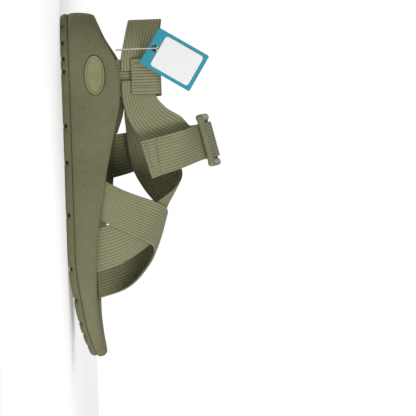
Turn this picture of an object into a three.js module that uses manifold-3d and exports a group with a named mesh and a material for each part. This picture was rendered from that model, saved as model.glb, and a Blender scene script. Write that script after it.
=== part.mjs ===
// A right-foot strappy sport sandal: lugged outsole, moulded midsole with webbing channels,
// webbing straps and a ladder-lock buckle. Millimetres, +X to the toe, +Z up, +Y medial.
import * as THREE from "three";
import { mergeVertices } from "three/addons/utils/BufferGeometryUtils.js";
import Module from "manifold-3d";

const wasm = await Module();
wasm.setup();

// Driving dimensions: the sole.
const soleLength = 292;
const heelWidth = 76;
const archWidth = 72;
const ballWidth = 106;
const outsoleThickness = 6.5;
const treadDepth = 3.6;
const treadGrooveWidth = 3.4;
const treadGrooveReach = 24;
const lateralGrooves = [0.033, 0.088, 0.138, 0.175, 0.33, 0.434, 0.586, 0.739, 0.835, 0.908, 0.946, 0.982];
const medialGrooves = Array.from({ length: 14 }, (_, i) => 0.055 + (i * 0.89) / 13);
const channelRise = 4;
const slotInset = 8.5;
const seatGap = 0.3;

// Driving dimensions: the webbing.
const webbingWidth = 30;
const webbingThickness = 1.8;
const layerGap = 0.5;
const channelClearance = 0.5;
const tabLength = 55;
const hemLength = 9;
const foldLength = 20;

// Driving dimensions: the foot space that the straps go round.
const ankleHeight = 124;
const instepHeight = 104;
const forefootHeight = 66;
const formRoundness = 2.3;

// Driving dimensions: the buckle, its badge on the heel and the hang tag.
const buckleThickness = 4;
const barWidth = 4;
const windowWidth = 6;
const railWidth = 6;
const windowEndClearance = 1.5;
const medallionLength = 33;
const medallionHeight = 17;
const medallionDepth = 3;
const tackWidth = 2.4;
const tackThickness = 0.7;
const tagLength = 48;
const tagWidth = 34;
const tagThickness = 0.7;
const tagLabelLength = 36;
const tagLabelWidth = 28;
const tagLabelThickness = 0.2;
const tagLabelPlace = 21.5;

// Heel and toe: how much of the length each round end takes.
const heelRoundShare = 0.14;
const toeRoundShare = 0.22;
const endRoundness = 2.25;

const layerPitch = webbingThickness + layerGap;
const outsideWebbing = webbingThickness / 2 + seatGap;
const buckleLength = webbingWidth + 2 * (windowEndClearance + railWidth);

// A smooth function of one number through [input, value] points.
function through(points) {
  const slopes = points.map((point, i) => {
    const before = points[Math.max(i - 1, 0)];
    const after = points[Math.min(i + 1, points.length - 1)];
    return (after[1] - before[1]) / (after[0] - before[0]);
  });
  return (input) => {
    let i = 0;
    while (i < points.length - 2 && input > points[i + 1][0]) i += 1;
    const span = points[i + 1][0] - points[i][0];
    const t = THREE.MathUtils.clamp((input - points[i][0]) / span, 0, 1);
    const start = points[i][1] * (1 + 2 * t) * (1 - t) ** 2;
    const end = points[i + 1][1] * (3 - 2 * t) * t ** 2;
    const startSlope = slopes[i] * span * t * (1 - t) ** 2;
    const endSlope = slopes[i + 1] * span * t ** 2 * (t - 1);
    return start + end + startSlope + endSlope;
  };
}

const heelHalf = heelWidth / 2;
const archHalf = archWidth / 2;
const ballHalf = ballWidth / 2;

// Plan shape of the sole by share of its length: centre line, half width and round ends.
const centreLine = through([
  [0, 0], [0.2, -0.5], [0.33, -3], [0.45, -6], [0.55, -6], [0.65, -2],
  [0.75, 0.5], [0.85, 3], [0.93, 8], [1, 12],
]);
const fullHalfWidth = through([
  [0, heelHalf], [0.17, heelHalf], [0.36, archHalf], [0.46, archHalf + 1],
  [0.56, (archHalf + ballHalf) / 2 - 2],
  [0.66, ballHalf - 4.5], [0.76, ballHalf], [0.86, ballHalf - 2], [1, ballHalf - 11],
]);

function endRounding(share) {
  const toeStart = 1 - toeRoundShare;
  let past = 0;
  if (share < heelRoundShare) past = (heelRoundShare - share) / heelRoundShare;
  if (share > toeStart) past = (share - toeStart) / toeRoundShare;
  return Math.max(0, 1 - Math.min(past, 1) ** endRoundness) ** (1 / endRoundness);
}

// Heights by share of the length: ground line with toe spring, rims and footbed.
const toeSpring = through([[0.5, 0], [0.7, 0], [0.77, 1], [0.85, 4], [0.93, 7.8], [1, 13.5]]);
const groundLine = (share) => Math.max(0, toeSpring(share));
const lateralRim = through([
  [0, 29], [0.06, 35], [0.147, 47], [0.253, 48.5], [0.3, 46], [0.44, 37], [0.555, 31],
  [0.63, 27], [0.73, 24.5],
  [0.85, 23.5], [0.92, 25], [1, 28.5],
]);
const medialRim = through([
  [0, 29], [0.06, 36], [0.147, 49], [0.28, 50], [0.36, 43], [0.5, 38.5], [0.58, 34], [0.68, 28], [0.78, 25.2],
  [0.87, 24], [0.94, 25.5], [1, 28.5],
]);
const footbed = through([
  [0, 24], [0.15, 25], [0.35, 26.5], [0.5, 25], [0.65, 21.5], [0.78, 19.8], [0.9, 20.5], [1, 24],
]);
const rim = (share, side) => (side < 0 ? lateralRim(share) : medialRim(share));
const outsoleTop = (share) => groundLine(share) + outsoleThickness;

// Point of the sole's plan at a share of the length, side -1 lateral or +1 medial, set in by inset.
function planPoint(share, side, inset, height) {
  const half = (fullHalfWidth(share) - inset) * endRounding(share);
  return new THREE.Vector3(inset + share * (soleLength - 2 * inset), centreLine(share) + side * half, height);
}

function geometryOf(points, faces) {
  const geometry = new THREE.BufferGeometry().setFromPoints(points);
  geometry.setIndex(faces.flat());
  let volume = 0;
  for (const [a, b, c] of faces) volume += points[a].dot(points[b].clone().cross(points[c]));
  if (volume < 0) geometry.setIndex(faces.map(([a, b, c]) => [a, c, b]).flat());
  return geometry;
}

// Closed body between rings that follow the sole's plan. Each ring is a function of share and side
// that returns its inset and height. Rings run from the middle of the bottom to the middle of the top.
function ringBody(rings, steps = 30) {
  const points = [];
  const count = 2 * steps;
  for (const ring of rings) {
    for (let i = 0; i < count; i += 1) {
      const side = i <= steps ? -1 : 1;
      const step = side < 0 ? i : count - i;
      const share = (1 - Math.cos((Math.PI * step) / steps)) / 2;
      const [inset, height] = ring(share, side);
      points.push(planPoint(share, side, inset, height));
    }
  }
  const faces = [];
  const quad = (a, b, c, d) => faces.push([a, b, c], [a, c, d]);
  for (let r = 0; r < rings.length - 1; r += 1) {
    for (let i = 0; i < count; i += 1) {
      const next = (i + 1) % count;
      quad(r * count + i, r * count + next, (r + 1) * count + next, (r + 1) * count + i);
    }
  }
  const top = (rings.length - 1) * count;
  faces.push([0, count - 1, 1], [steps, steps - 1, steps + 1]);
  faces.push([top, top + 1, top + count - 1], [top + steps, top + steps + 1, top + steps - 1]);
  for (let i = 1; i < steps - 1; i += 1) {
    quad(count - i, count - i - 1, i + 1, i);
    quad(top + i, top + i + 1, top + count - i - 1, top + count - i);
  }
  return geometryOf(points, faces);
}

// Closed sheet with a thickness: pointAt(along, across, face) gives the point for face 0 or 1.
function sheetBody(pointAt, steps, columns) {
  const points = [];
  const row = columns + 1;
  const faceSize = (steps + 1) * row;
  for (const face of [0, 1]) {
    for (let i = 0; i <= steps; i += 1) {
      for (let j = 0; j <= columns; j += 1) points.push(pointAt(i / steps, j / columns, face));
    }
  }
  const faces = [];
  const quad = (a, b, c, d) => faces.push([a, b, c], [a, c, d]);
  for (let i = 0; i < steps; i += 1) {
    for (let j = 0; j < columns; j += 1) {
      const a = i * row + j;
      quad(a, a + 1, a + row + 1, a + row);
      quad(faceSize + a, faceSize + a + row, faceSize + a + row + 1, faceSize + a + 1);
    }
    const first = i * row;
    const last = first + columns;
    quad(first, first + row, faceSize + first + row, faceSize + first);
    quad(last, faceSize + last, faceSize + last + row, last + row);
  }
  for (let j = 0; j < columns; j += 1) {
    const end = steps * row + j;
    quad(j, faceSize + j, faceSize + j + 1, j + 1);
    quad(end, end + 1, faceSize + end + 1, faceSize + end);
  }
  return geometryOf(points, faces);
}

function solidOf(geometry) {
  const plain = geometry.clone();
  plain.deleteAttribute("normal");
  plain.deleteAttribute("uv");
  const merged = mergeVertices(plain);
  const vertProperties = new Float32Array(merged.attributes.position.array);
  const triVerts = new Uint32Array(merged.index.array);
  return new wasm.Manifold(new wasm.Mesh({ numProp: 3, vertProperties, triVerts }));
}

function geometryFromSolid(solid) {
  const mesh = solid.getMesh();
  const geometry = new THREE.BufferGeometry();
  geometry.setAttribute("position", new THREE.BufferAttribute(new Float32Array(mesh.vertProperties), 3));
  geometry.setIndex(new THREE.BufferAttribute(new Uint32Array(mesh.triVerts), 1));
  geometry.computeVertexNormals();
  return geometry;
}

function cutBy(geometry, cutters) {
  let solid = solidOf(geometry);
  for (const cutter of cutters) solid = solid.subtract(solidOf(cutter));
  return geometryFromSolid(solid);
}

// The foot space: round-topped sections over the sole, from heel to toes.
const formTop = through([
  [0, ankleHeight], [0.3, ankleHeight - 4], [0.38, instepHeight + 9], [0.45, instepHeight - 1],
  [0.52, instepHeight - 12],
  [0.575, forefootHeight + 17], [0.65, forefootHeight + 10], [0.71, forefootHeight + 3],
  [0.77, forefootHeight - 6],
  [0.84, forefootHeight - 18], [1, forefootHeight - 34],
]);
const formBase = (share) => footbed(share) + 1;

// Point on the foot space at a share of the length and an angle in degrees, 0 medial to 180 lateral,
// lifted off it square to its section.
function formPoint(share, degrees, lift) {
  const angle = (degrees * Math.PI) / 180;
  const half = fullHalfWidth(share) - slotInset;
  const height = formTop(share) - formBase(share);
  const across = Math.cos(angle) / half;
  const upward = Math.sin(angle) / height;
  const size = Math.abs(across) ** formRoundness + Math.abs(upward) ** formRoundness;
  const radius = size ** (-1 / formRoundness);
  const slope = formRoundness - 1;
  const sideways = (Math.sign(across) * Math.abs(across * radius) ** slope) / half;
  const normal = new THREE.Vector3(0, sideways, (Math.abs(upward * radius) ** slope) / height).normalize();
  const y = centreLine(share) + radius * Math.cos(angle);
  const point = new THREE.Vector3(share * soleLength, y, formBase(share) + radius * Math.sin(angle));
  return point.addScaledVector(normal, lift);
}

// Angle at which the foot space reaches a height on one side.
function formAngle(share, height, side) {
  const half = fullHalfWidth(share) - slotInset;
  const up = height - formBase(share);
  const rise = Math.min(up / (formTop(share) - formBase(share)), 1) ** formRoundness;
  const angle = (Math.atan2(up, half * (1 - rise) ** (1 / formRoundness)) * 180) / Math.PI;
  return side < 0 ? 180 - angle : angle;
}

// A strap stops just short of the ends of its route, and its clearance cutter runs to them.
const endTrim = 0.004;
const trimmed = (fraction, extra) => (extra > 0 ? fraction : endTrim + fraction * (1 - 2 * endTrim));

// Webbing laid on the foot space between two edges given as [share, degrees] points.
// extra widens and thickens it for cutting clearance; lift is a function of how far along it is.
function formBand(frontEdge, rearEdge, lift, steps, extra = 0) {
  const placeOf = ([share, angle]) => new THREE.Vector3(share, angle, 0);
  const curve = (edge) => new THREE.CatmullRomCurve3(edge.map(placeOf));
  const front = curve(frontEdge);
  const rear = curve(rearEdge);
  const widen = extra / webbingWidth;
  return sheetBody((fraction, across, face) => {
    const along = trimmed(fraction, extra);
    const spread = across * (1 + 2 * widen) - widen;
    const place = rear.getPoint(along).lerp(front.getPoint(along), spread);
    const offset = (face - 0.5) * (webbingThickness + 2 * extra);
    return formPoint(place.x, place.y, lift(along) + offset);
  }, steps, 4);
}

// Webbing between two edge curves in space; its thickness is laid along the surface normal.
// extra widens and thickens it for cutting clearance.
function stripBetween([firstEdge, secondEdge], steps, columns = 3, extra = 0) {
  const first = new THREE.CatmullRomCurve3(firstEdge);
  const second = new THREE.CatmullRomCurve3(secondEdge);
  const middle = (along, across) => first.getPoint(along).lerp(second.getPoint(along), across);
  return sheetBody((fraction, across, face) => {
    const along = trimmed(fraction, extra);
    const step = 0.5 / steps;
    const ahead = middle(Math.min(along + step, 1), across);
    const behind = middle(Math.max(along - step, 0), across);
    const sideways = second.getPoint(along).sub(first.getPoint(along));
    const normal = ahead.sub(behind).cross(sideways).normalize();
    const point = middle(along, across).addScaledVector(sideways.normalize(), (2 * across - 1) * extra);
    return point.addScaledVector(normal, (face - 0.5) * (webbingThickness + 2 * extra));
  }, steps, columns);
}

function addMesh(name, geometry, look) {
  const mesh = new THREE.Mesh(geometry, new THREE.MeshStandardMaterial(look));
  mesh.name = name;
  return mesh;
}

const foamLook = { color: 0x6f6f54, roughness: 0.75, metalness: 0 };
const rubberLook = { color: 0x66664c, roughness: 0.85, metalness: 0 };
const webbingLook = { color: 0x7d7c60, roughness: 0.9, metalness: 0 };
const threadLook = { color: 0x86866a, roughness: 0.8, metalness: 0 };
const badgeLook = { color: 0x8b8c66, roughness: 0.55, metalness: 0 };
const buckleLook = { color: 0x7f8060, roughness: 0.45, metalness: 0 };
const cardLook = { color: 0x2391a5, roughness: 0.6, metalness: 0 };
const labelLook = { color: 0xf2f2f0, roughness: 0.6, metalness: 0 };

// The sole pieces.
const sideBulge = 1.2;
const rimWidth = 6;
const cupSlope = 5;

function outsole() {
  const body = ringBody([
    (share) => [14, groundLine(share)],
    (share) => [sideBulge + 2.2, groundLine(share)],
    (share) => [sideBulge + 0.6, groundLine(share) + 1.6],
    (share) => [sideBulge, outsoleTop(share)],
    (share) => [14, outsoleTop(share)],
  ]);
  const grooves = [...treadGrooves(-1, lateralGrooves), ...treadGrooves(1, medialGrooves)];
  return addMesh("outsole", cutBy(body, grooves), rubberLook);
}

// Side grooves of the tread, cut square to the edge of the sole.
function treadGrooves(side, shares) {
  const overhang = 6;
  const nearby = 0.01;
  return shares.map((share) => {
    const edge = planPoint(share, side, 0, groundLine(share));
    const along = planPoint(share + nearby, side, 0, 0).sub(planPoint(share - nearby, side, 0, 0));
    const groove = new THREE.BoxGeometry(treadGrooveWidth, treadGrooveReach + overhang, 2 * treadDepth);
    groove.rotateZ(Math.atan2(along.y, along.x));
    const inward = new THREE.Vector3(along.y, -along.x, 0).normalize().multiplyScalar(side);
    edge.addScaledVector(inward, (treadGrooveReach - overhang) / 2);
    return groove.translate(edge.x, edge.y, edge.z);
  });
}

function midsole(cutters) {
  const bottom = (share) => outsoleTop(share) + seatGap;
  const upTo = (share, side, part) => bottom(share) + part * (rim(share, side) - bottom(share));
  const body = ringBody([
    (share) => [14, bottom(share)],
    (share) => [sideBulge + 0.3, bottom(share)],
    (share, side) => [0, upTo(share, side, 0.4)],
    (share, side) => [sideBulge, upTo(share, side, 0.8)],
    (share, side) => [sideBulge + 1.6, rim(share, side) - 0.5],
    (share, side) => [rimWidth - 1.5, rim(share, side)],
    (share, side) => [rimWidth, rim(share, side) - 1],
    (share) => [rimWidth + cupSlope, footbed(share) + 2.2],
    (share) => [rimWidth + cupSlope + 6, footbed(share) + 0.4],
    (share) => [rimWidth + cupSlope + 14, footbed(share)],
  ]);
  return addMesh("midsole", cutBy(body, cutters), foamLook);
}

// Oval badge set in the lateral heel wall.
function medallionSolid(growth) {
  const oval = new THREE.Shape();
  oval.absellipse(0, 0, medallionLength / 2 + growth, medallionHeight / 2 + growth, 0, 2 * Math.PI);
  const depth = medallionDepth + growth;
  const geometry = new THREE.ExtrudeGeometry(oval, { depth, bevelEnabled: false, curveSegments: 20 });
  geometry.rotateX(Math.PI / 2);
  return geometry.translate(medallionAcross.x, medallionAcross.y + growth, medallionAcross.z);
}

const medallionAcross = planPoint(0.19, -1, -0.7, 28).add(new THREE.Vector3(0, medallionDepth, 0));

// Where each strap enters the sole: [rear, front] shares of the length.
const forefootMedialSlot = [0.709, 0.836];
const forefootLateralSlot = [0.627, 0.753];
const midfootLateralSlot = [0.473, 0.592];
const midfootMedialSlot = [0.356, 0.483];
const riserShare = webbingWidth / soleLength;
const riserRear = 0.145;
const riserSlot = [riserRear, riserRear + riserShare];

// Webbing inside the sole from a medial slot, under the footbed, to a lateral slot.
function runEdge(medialShare, lateralShare, rise) {
  const ends = [formPoint(medialShare, 0, 0), formPoint(lateralShare, 180, 0)];
  const deep = [medialShare, lateralShare].map((share) => outsoleTop(share) + channelRise);
  const bend = 5;
  const inward = [-1, 1];
  const [medial, lateral] = ends.map((end, i) => [
    new THREE.Vector3(end.x, end.y, end.z + rise),
    new THREE.Vector3(end.x, end.y, (end.z + deep[i] + bend) / 2),
    new THREE.Vector3(end.x, end.y + inward[i] * 0.28 * bend, deep[i] + 0.28 * bend),
    new THREE.Vector3(end.x, end.y + inward[i] * 1.2 * bend, deep[i]),
  ]);
  const middle = medial[3].clone().lerp(lateral[3], 0.5);
  return [...medial, middle, ...lateral.reverse()];
}

function soleRun(medialSlot, lateralSlot, extra, rise) {
  const edges = [0, 1].map((end) => runEdge(medialSlot[end], lateralSlot[end], rise));
  return stripBetween(edges, 36, 1, extra);
}

const runs = [
  { name: "forefoot_sole_run", medial: forefootMedialSlot, lateral: forefootLateralSlot },
  { name: "midfoot_sole_run", medial: midfootMedialSlot, lateral: midfootLateralSlot },
  { name: "heel_sole_run", medial: riserSlot, lateral: riserSlot },
];

function soleRuns() {
  return runs.map(({ name, medial, lateral }) => (
    addMesh(name, soleRun(medial, lateral, 0, -seatGap), webbingLook)));
}

// The straps over the foot.
function forefootStrap(extra) {
  const front = [[0.836, 0], [0.796, 45], [0.714, 90], [0.653, 135], [0.592, 180]];
  const rear = [[0.709, 0], [0.67, 45], [0.59, 90], [0.531, 135], [0.473, 180]];
  const lift = (along) => layerPitch * Math.min(1, 12 * along, 12 * (1 - along));
  return formBand(front, rear, lift, 32, extra);
}

const strapLow = 50;
const strapHigh = strapLow + webbingWidth - 2;
const riserMiddle = (riserSlot[0] + riserSlot[1]) / 2;
const tailShare = riserMiddle + 0.009;
const riserExit = riserSlot[1] + 0.003;

function instepStrap(extra) {
  const low = (share) => [share, formAngle(share, strapLow, 1)];
  const high = (share) => [share, formAngle(share, strapHigh, 1)];
  const front = [
    [0.753, 180], [0.73, 150], [0.685, 118], [0.63, 90], [0.575, 70], [0.51, 54], [0.43, 45], [0.34, 41],
    low(riserExit), low(tailShare),
  ];
  const rear = [
    [0.627, 180], [0.61, 150], [0.572, 120], [0.525, 100], [0.475, 84], [0.425, 74], [0.37, 68], [0.31, 66],
    high(riserExit), high(tailShare),
  ];
  const lift = (along) => layerPitch * THREE.MathUtils.smoothstep(along, 0.72, 0.85);
  return formBand(front, rear, lift, 40, extra);
}

// The buckle's own frame: u along its bars, v across to the medial side, w up out of its face.
const buckleShare = 0.384;
const buckleTilt = THREE.MathUtils.degToRad(13);
const buckleRoll = THREE.MathUtils.degToRad(15);
const buckleLift = 8;
const buckleFrame = new THREE.Matrix4()
  .makeTranslation(buckleShare * soleLength, centreLine(buckleShare) + 2, formTop(buckleShare) + buckleLift)
  .multiply(new THREE.Matrix4().makeRotationY(-buckleTilt))
  .multiply(new THREE.Matrix4().makeRotationX(buckleRoll));
const inBuckle = (u, v, w) => new THREE.Vector3(u, v, w).applyMatrix4(buckleFrame);

const barReach = barWidth / 2 + windowWidth + barWidth / 2;
const barLayer = buckleThickness / 2 + outsideWebbing;
const underLayer = -barLayer - layerPitch - seatGap;

function buckle() {
  const half = buckleLength / 2;
  const outer = barReach + barWidth / 2;
  const corner = 4;
  const plate = new THREE.Shape();
  plate.moveTo(-half, -outer + corner);
  plate.absarc(-half + corner, -outer + corner, corner, Math.PI, 1.5 * Math.PI);
  plate.absarc(half - corner, -outer + corner, corner, 1.5 * Math.PI, 2 * Math.PI);
  plate.absarc(half - corner, outer - corner, corner, 0, 0.5 * Math.PI);
  plate.lineTo(half - railWidth, outer);
  plate.lineTo(half - railWidth, barWidth / 2);
  plate.lineTo(-half + railWidth, barWidth / 2);
  plate.lineTo(-half + railWidth, outer);
  plate.absarc(-half + corner, outer - corner, corner, 0.5 * Math.PI, Math.PI);
  const window = new THREE.Path();
  window.moveTo(-half + railWidth, -barWidth / 2);
  window.lineTo(half - railWidth, -barWidth / 2);
  window.lineTo(half - railWidth, -barWidth / 2 - windowWidth);
  window.lineTo(-half + railWidth, -barWidth / 2 - windowWidth);
  plate.holes.push(window);
  const extrusion = { depth: buckleThickness, bevelEnabled: false, curveSegments: 5 };
  const geometry = new THREE.ExtrudeGeometry(plate, extrusion);
  geometry.translate(0, 0, -buckleThickness / 2);
  const bar = new THREE.CylinderGeometry(barWidth / 2, barWidth / 2, buckleLength - railWidth, 16);
  bar.rotateZ(Math.PI / 2).translate(0, barReach, 0);
  const joined = geometryFromSolid(solidOf(geometry).add(solidOf(bar)));
  return addMesh("buckle", joined.applyMatrix4(buckleFrame), buckleLook);
}

// Edge of a strap that leaves the foot space and follows [v, w] points of the buckle at a constant u.
function edgeToBuckle(onForm, u, inFrame) {
  return [...onForm, ...inFrame.map(([v, w]) => inBuckle(u, v, w))];
}

const loopRadius = barWidth / 2 + outsideWebbing;
const halfWebbing = webbingWidth / 2;

function midfootStrap(extra) {
  const outside = 2 * layerPitch + 0.6;
  const [rearShare, frontShare] = midfootMedialSlot;
  const onForm = (places) => places.map(([share, angle, lift]) => formPoint(share, angle, lift * outside));
  const rear = onForm([[rearShare, 0, 0], [rearShare, 18, 0.6], [0.352, 38, 1.1], [0.34, 56, 1.5]]);
  const front = onForm([[frontShare, 0, 0], [frontShare, 18, 0.6], [0.472, 40, 1.1], [0.452, 60, 1.5]]);
  const turn = Array.from({ length: 7 }, (_, i) => {
    const angle = -Math.PI / 2 - (i * Math.PI) / 6;
    return [barReach + loopRadius * Math.cos(angle), loopRadius * Math.sin(angle)];
  });
  const incoming = [[barReach + foldLength, -loopRadius - 8], [barReach + 10, -loopRadius - 2.2]];
  const outgoing = incoming.map(([v, w]) => [v + 1.1, w + layerPitch + 0.3]).reverse();
  const path = [...incoming, ...turn, ...outgoing];
  const edges = [edgeToBuckle(rear, -halfWebbing, path), edgeToBuckle(front, halfWebbing, path)];
  return stripBetween(edges, 64, 3, extra);
}

function quarterStrap() {
  const low = (share, height) => formPoint(share, formAngle(share, height, -1), layerPitch);
  const upper = [low(tailShare, strapHigh), low(riserExit, strapHigh), low(0.287, 86), low(0.315, 98)];
  const lower = [
    low(tailShare, strapLow), low(riserExit, strapLow), low(0.33, 56), low(0.39, 70), low(0.425, 88),
  ];
  const path = [
    [-barReach - 6, underLayer - 1.5], [-barReach, underLayer], [-barWidth, underLayer + 0.4],
    [-seatGap, -barLayer - 0.9],
  ];
  const edges = [edgeToBuckle(upper, -halfWebbing, path), edgeToBuckle(lower, halfWebbing, path)];
  return addMesh("quarter_strap", stripBetween(edges, 40), webbingLook);
}

// The part of the pull tab's webbing that is threaded round the middle bar.
function buckleWrap() {
  const side = barWidth / 2 + outsideWebbing;
  const path = [
    [seatGap, -barLayer - 0.9], [side - 0.6, -barLayer], [side + 0.1, 0], [side - 0.4, barLayer - 0.3],
    [0, barLayer + 0.1],
    [-side + 0.4, barLayer - 0.3], [-side - 0.1, 0.6], [-side - 0.5, -1.6], [-side - 2, -barLayer],
    [-barReach - 3, -barLayer],
  ];
  const edges = [-halfWebbing, halfWebbing].map((u) => path.map(([v, w]) => inBuckle(u, v, w)));
  return addMesh("buckle_wrap", stripBetween(edges, 40, 1), webbingLook);
}

const tabLift = 5 * layerPitch;
const tabHeight = formTop(buckleShare) + buckleLift - tabLength;

function tabEdges() {
  const hang = (share, height) => formPoint(share, formAngle(share, height, -1), tabLift);
  const start = (u) => [inBuckle(u, -barReach - 3.4, -barLayer), inBuckle(u, -barReach - 7, -barLayer - 0.5)];
  const rear = [
    ...start(-halfWebbing),
    hang(0.352, tabHeight + 32), hang(0.368, tabHeight + 15), hang(0.382, tabHeight - 3),
  ];
  const front = [
    ...start(halfWebbing),
    hang(0.465, tabHeight + 25), hang(0.478, tabHeight + 14), hang(0.49, tabHeight + 4),
  ];
  return [rear, front];
}

function pullTab() {
  return addMesh("pull_tab", stripBetween(tabEdges(), 20), webbingLook);
}

// A layer laid on the outside of a strip between two edges, over a stretch of it.
function overlay([rear, front], from, to, inset, thickness, offset) {
  const first = new THREE.CatmullRomCurve3(rear);
  const second = new THREE.CatmullRomCurve3(front);
  const middle = (along, across) => first.getPoint(along).lerp(second.getPoint(along), across);
  return sheetBody((along, across, face) => {
    const place = from + along * (to - from);
    const spread = inset + across * (1 - 2 * inset);
    const sideways = second.getPoint(place).sub(first.getPoint(place));
    const normal = middle(place + 0.01, spread).sub(middle(place - 0.01, spread)).cross(sideways).normalize();
    return middle(place, spread).addScaledVector(normal, offset + face * thickness);
  }, 8, 3);
}

function pullTabHem() {
  const edges = tabEdges();
  const from = 0.98 - hemLength / tabLength;
  const outward = -outsideWebbing;
  const hem = overlay(edges, from, 0.98, 0, -webbingThickness, outward);
  const tackOffset = outward - webbingThickness - seatGap;
  const tack = overlay(edges, from + 0.02, from + 0.06, 0.08, -tackThickness, tackOffset);
  return [addMesh("pull_tab_hem", hem, webbingLook), addMesh("pull_tab_stitching", tack, threadLook)];
}

// Risers: webbing that comes up inside the straps, folds over them and ends on the outside.
const riserTop = strapHigh + 1.6;
const riserEnd = 58;

function riserEdge(share, side) {
  const at = (height, lift) => formPoint(share, formAngle(share, height, side), lift);
  const inside = [formPoint(share, side < 0 ? 180 : 0, 0), at(40, 0), at(50, 0), at(66, 0), at(riserTop, 0)];
  const fold = [at(riserTop + 1.6, 0.55 * layerPitch), at(riserTop + 1.6, 1.45 * layerPitch)];
  const outside = [at(riserTop, 2 * layerPitch), at(66, 2 * layerPitch), at(riserEnd, 2 * layerPitch)];
  return [...inside, ...fold, ...outside];
}

function riser(side, extra) {
  return stripBetween(riserSlot.map((share) => riserEdge(share, side)), 40, 1, extra);
}

function barTack(name, side, share) {
  const lift = 2 * layerPitch + outsideWebbing + 0.3;
  const width = tackWidth / soleLength;
  const geometry = sheetBody((along, across, face) => {
    const height = riserEnd + 3 + along * (strapHigh - riserEnd - 3);
    const place = share + (across - 0.5) * width;
    return formPoint(place, formAngle(place, height, side), lift + face * tackThickness);
  }, 6, 1);
  return addMesh(name, geometry, threadLook);
}

// Heel strap: from inside one riser round the back of the heel into the other.
const heelStrapBack = 9;
const heelStrapRise = 7;
const heelStrapEnd = riserMiddle - 0.016;

function heelStrap() {
  const edge = (height) => {
    const ends = [-1, 1].map((side) => [heelStrapEnd, riserRear].map((share) => (
      formPoint(share, formAngle(share, height, side), layerPitch))));
    const reach = riserRear * soleLength - heelStrapBack;
    const middle = [20, 45, 70, 90, 110, 135, 160].map((degrees) => {
      const turn = THREE.MathUtils.degToRad(degrees);
      const lateral = ends[0][1].y;
      const medial = ends[1][1].y;
      const y = (lateral + medial) / 2 + ((lateral - medial) / 2) * Math.cos(turn);
      const x = riserRear * soleLength - reach * Math.sin(turn);
      return new THREE.Vector3(x, y, height + heelStrapRise * Math.sin(turn));
    });
    return [...ends[0], ...middle, ...ends[1].reverse()];
  };
  return addMesh("heel_strap", stripBetween([edge(strapLow), edge(strapHigh)], 40), webbingLook);
}

// Hang tag: a card with a label, on a plastic loop that goes round the heel strap.
const tagShare = 0.118;
const tagLean = THREE.MathUtils.degToRad(58);
const tagHoleInset = 5;
const tagHoleRadius = 3;
const tagLoopWire = 0.6;
const tagLoopReach = 9;
const tagLoopOffset = 2.1;
const tagHoleTurn = 0.24 * Math.PI;
const tagLoopMargin = 4;

function hangTag() {
  const loopHeight = webbingWidth / 2 + tagLoopMargin;
  const centre = new THREE.Vector3(
    tagShare * soleLength, formPoint(riserRear, 180, 0).y - tagLoopOffset, (strapLow + strapHigh) / 2 + 2,
  );
  const loop = new THREE.TorusGeometry(1, 1, 6, 24);
  const wire = loop.attributes.position;
  for (let i = 0; i < wire.count; i += 1) {
    const around = (2 * Math.PI * (i % 25)) / 24;
    const section = (2 * Math.PI * Math.floor(i / 25)) / 6;
    const reach = 1 + (tagLoopWire * Math.cos(section)) / tagLoopReach;
    const y = tagLoopReach * reach * Math.cos(around);
    const z = (loopHeight + tagLoopWire * Math.cos(section)) * Math.sin(around);
    wire.setXYZ(i, centre.x + tagLoopWire * Math.sin(section), centre.y + y, centre.z + z);
  }
  const loopSolid = geometryOf(
    Array.from({ length: wire.count }, (_, i) => new THREE.Vector3().fromBufferAttribute(wire, i)),
    Array.from({ length: loop.index.count / 3 }, (_, i) => (
      [0, 1, 2].map((corner) => loop.index.getX(3 * i + corner)))),
  );
  const holeAcross = centre.y - tagLoopReach * Math.cos(tagHoleTurn);
  const holeUp = centre.z + loopHeight * Math.sin(tagHoleTurn);
  const place = (geometry, depth) => {
    geometry.rotateX(Math.PI / 2).translate(0, depth, 0).rotateY(-tagLean);
    return geometry.translate(centre.x, holeAcross, holeUp);
  };
  const halfTag = tagWidth / 2;
  const card = new THREE.Shape([
    new THREE.Vector2(-tagHoleInset, -halfTag), new THREE.Vector2(tagLength - tagHoleInset, -halfTag),
    new THREE.Vector2(tagLength - tagHoleInset, halfTag), new THREE.Vector2(-tagHoleInset, halfTag),
  ]);
  const punched = new THREE.Path();
  punched.absarc(0, 0, tagHoleRadius, 0, 2 * Math.PI);
  card.holes.push(punched);
  const cardBody = new THREE.ExtrudeGeometry(card, { depth: tagThickness, bevelEnabled: false });
  const label = new THREE.BoxGeometry(tagLabelLength, tagLabelWidth, tagLabelThickness);
  label.translate(tagLabelPlace, 0, 0);
  return [
    addMesh("tag_card", place(cardBody, tagThickness / 2), cardLook),
    addMesh("tag_label", place(label, -tagThickness / 2 - seatGap), labelLook),
    addMesh("tag_loop", loopSolid, labelLook),
  ];
}

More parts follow.
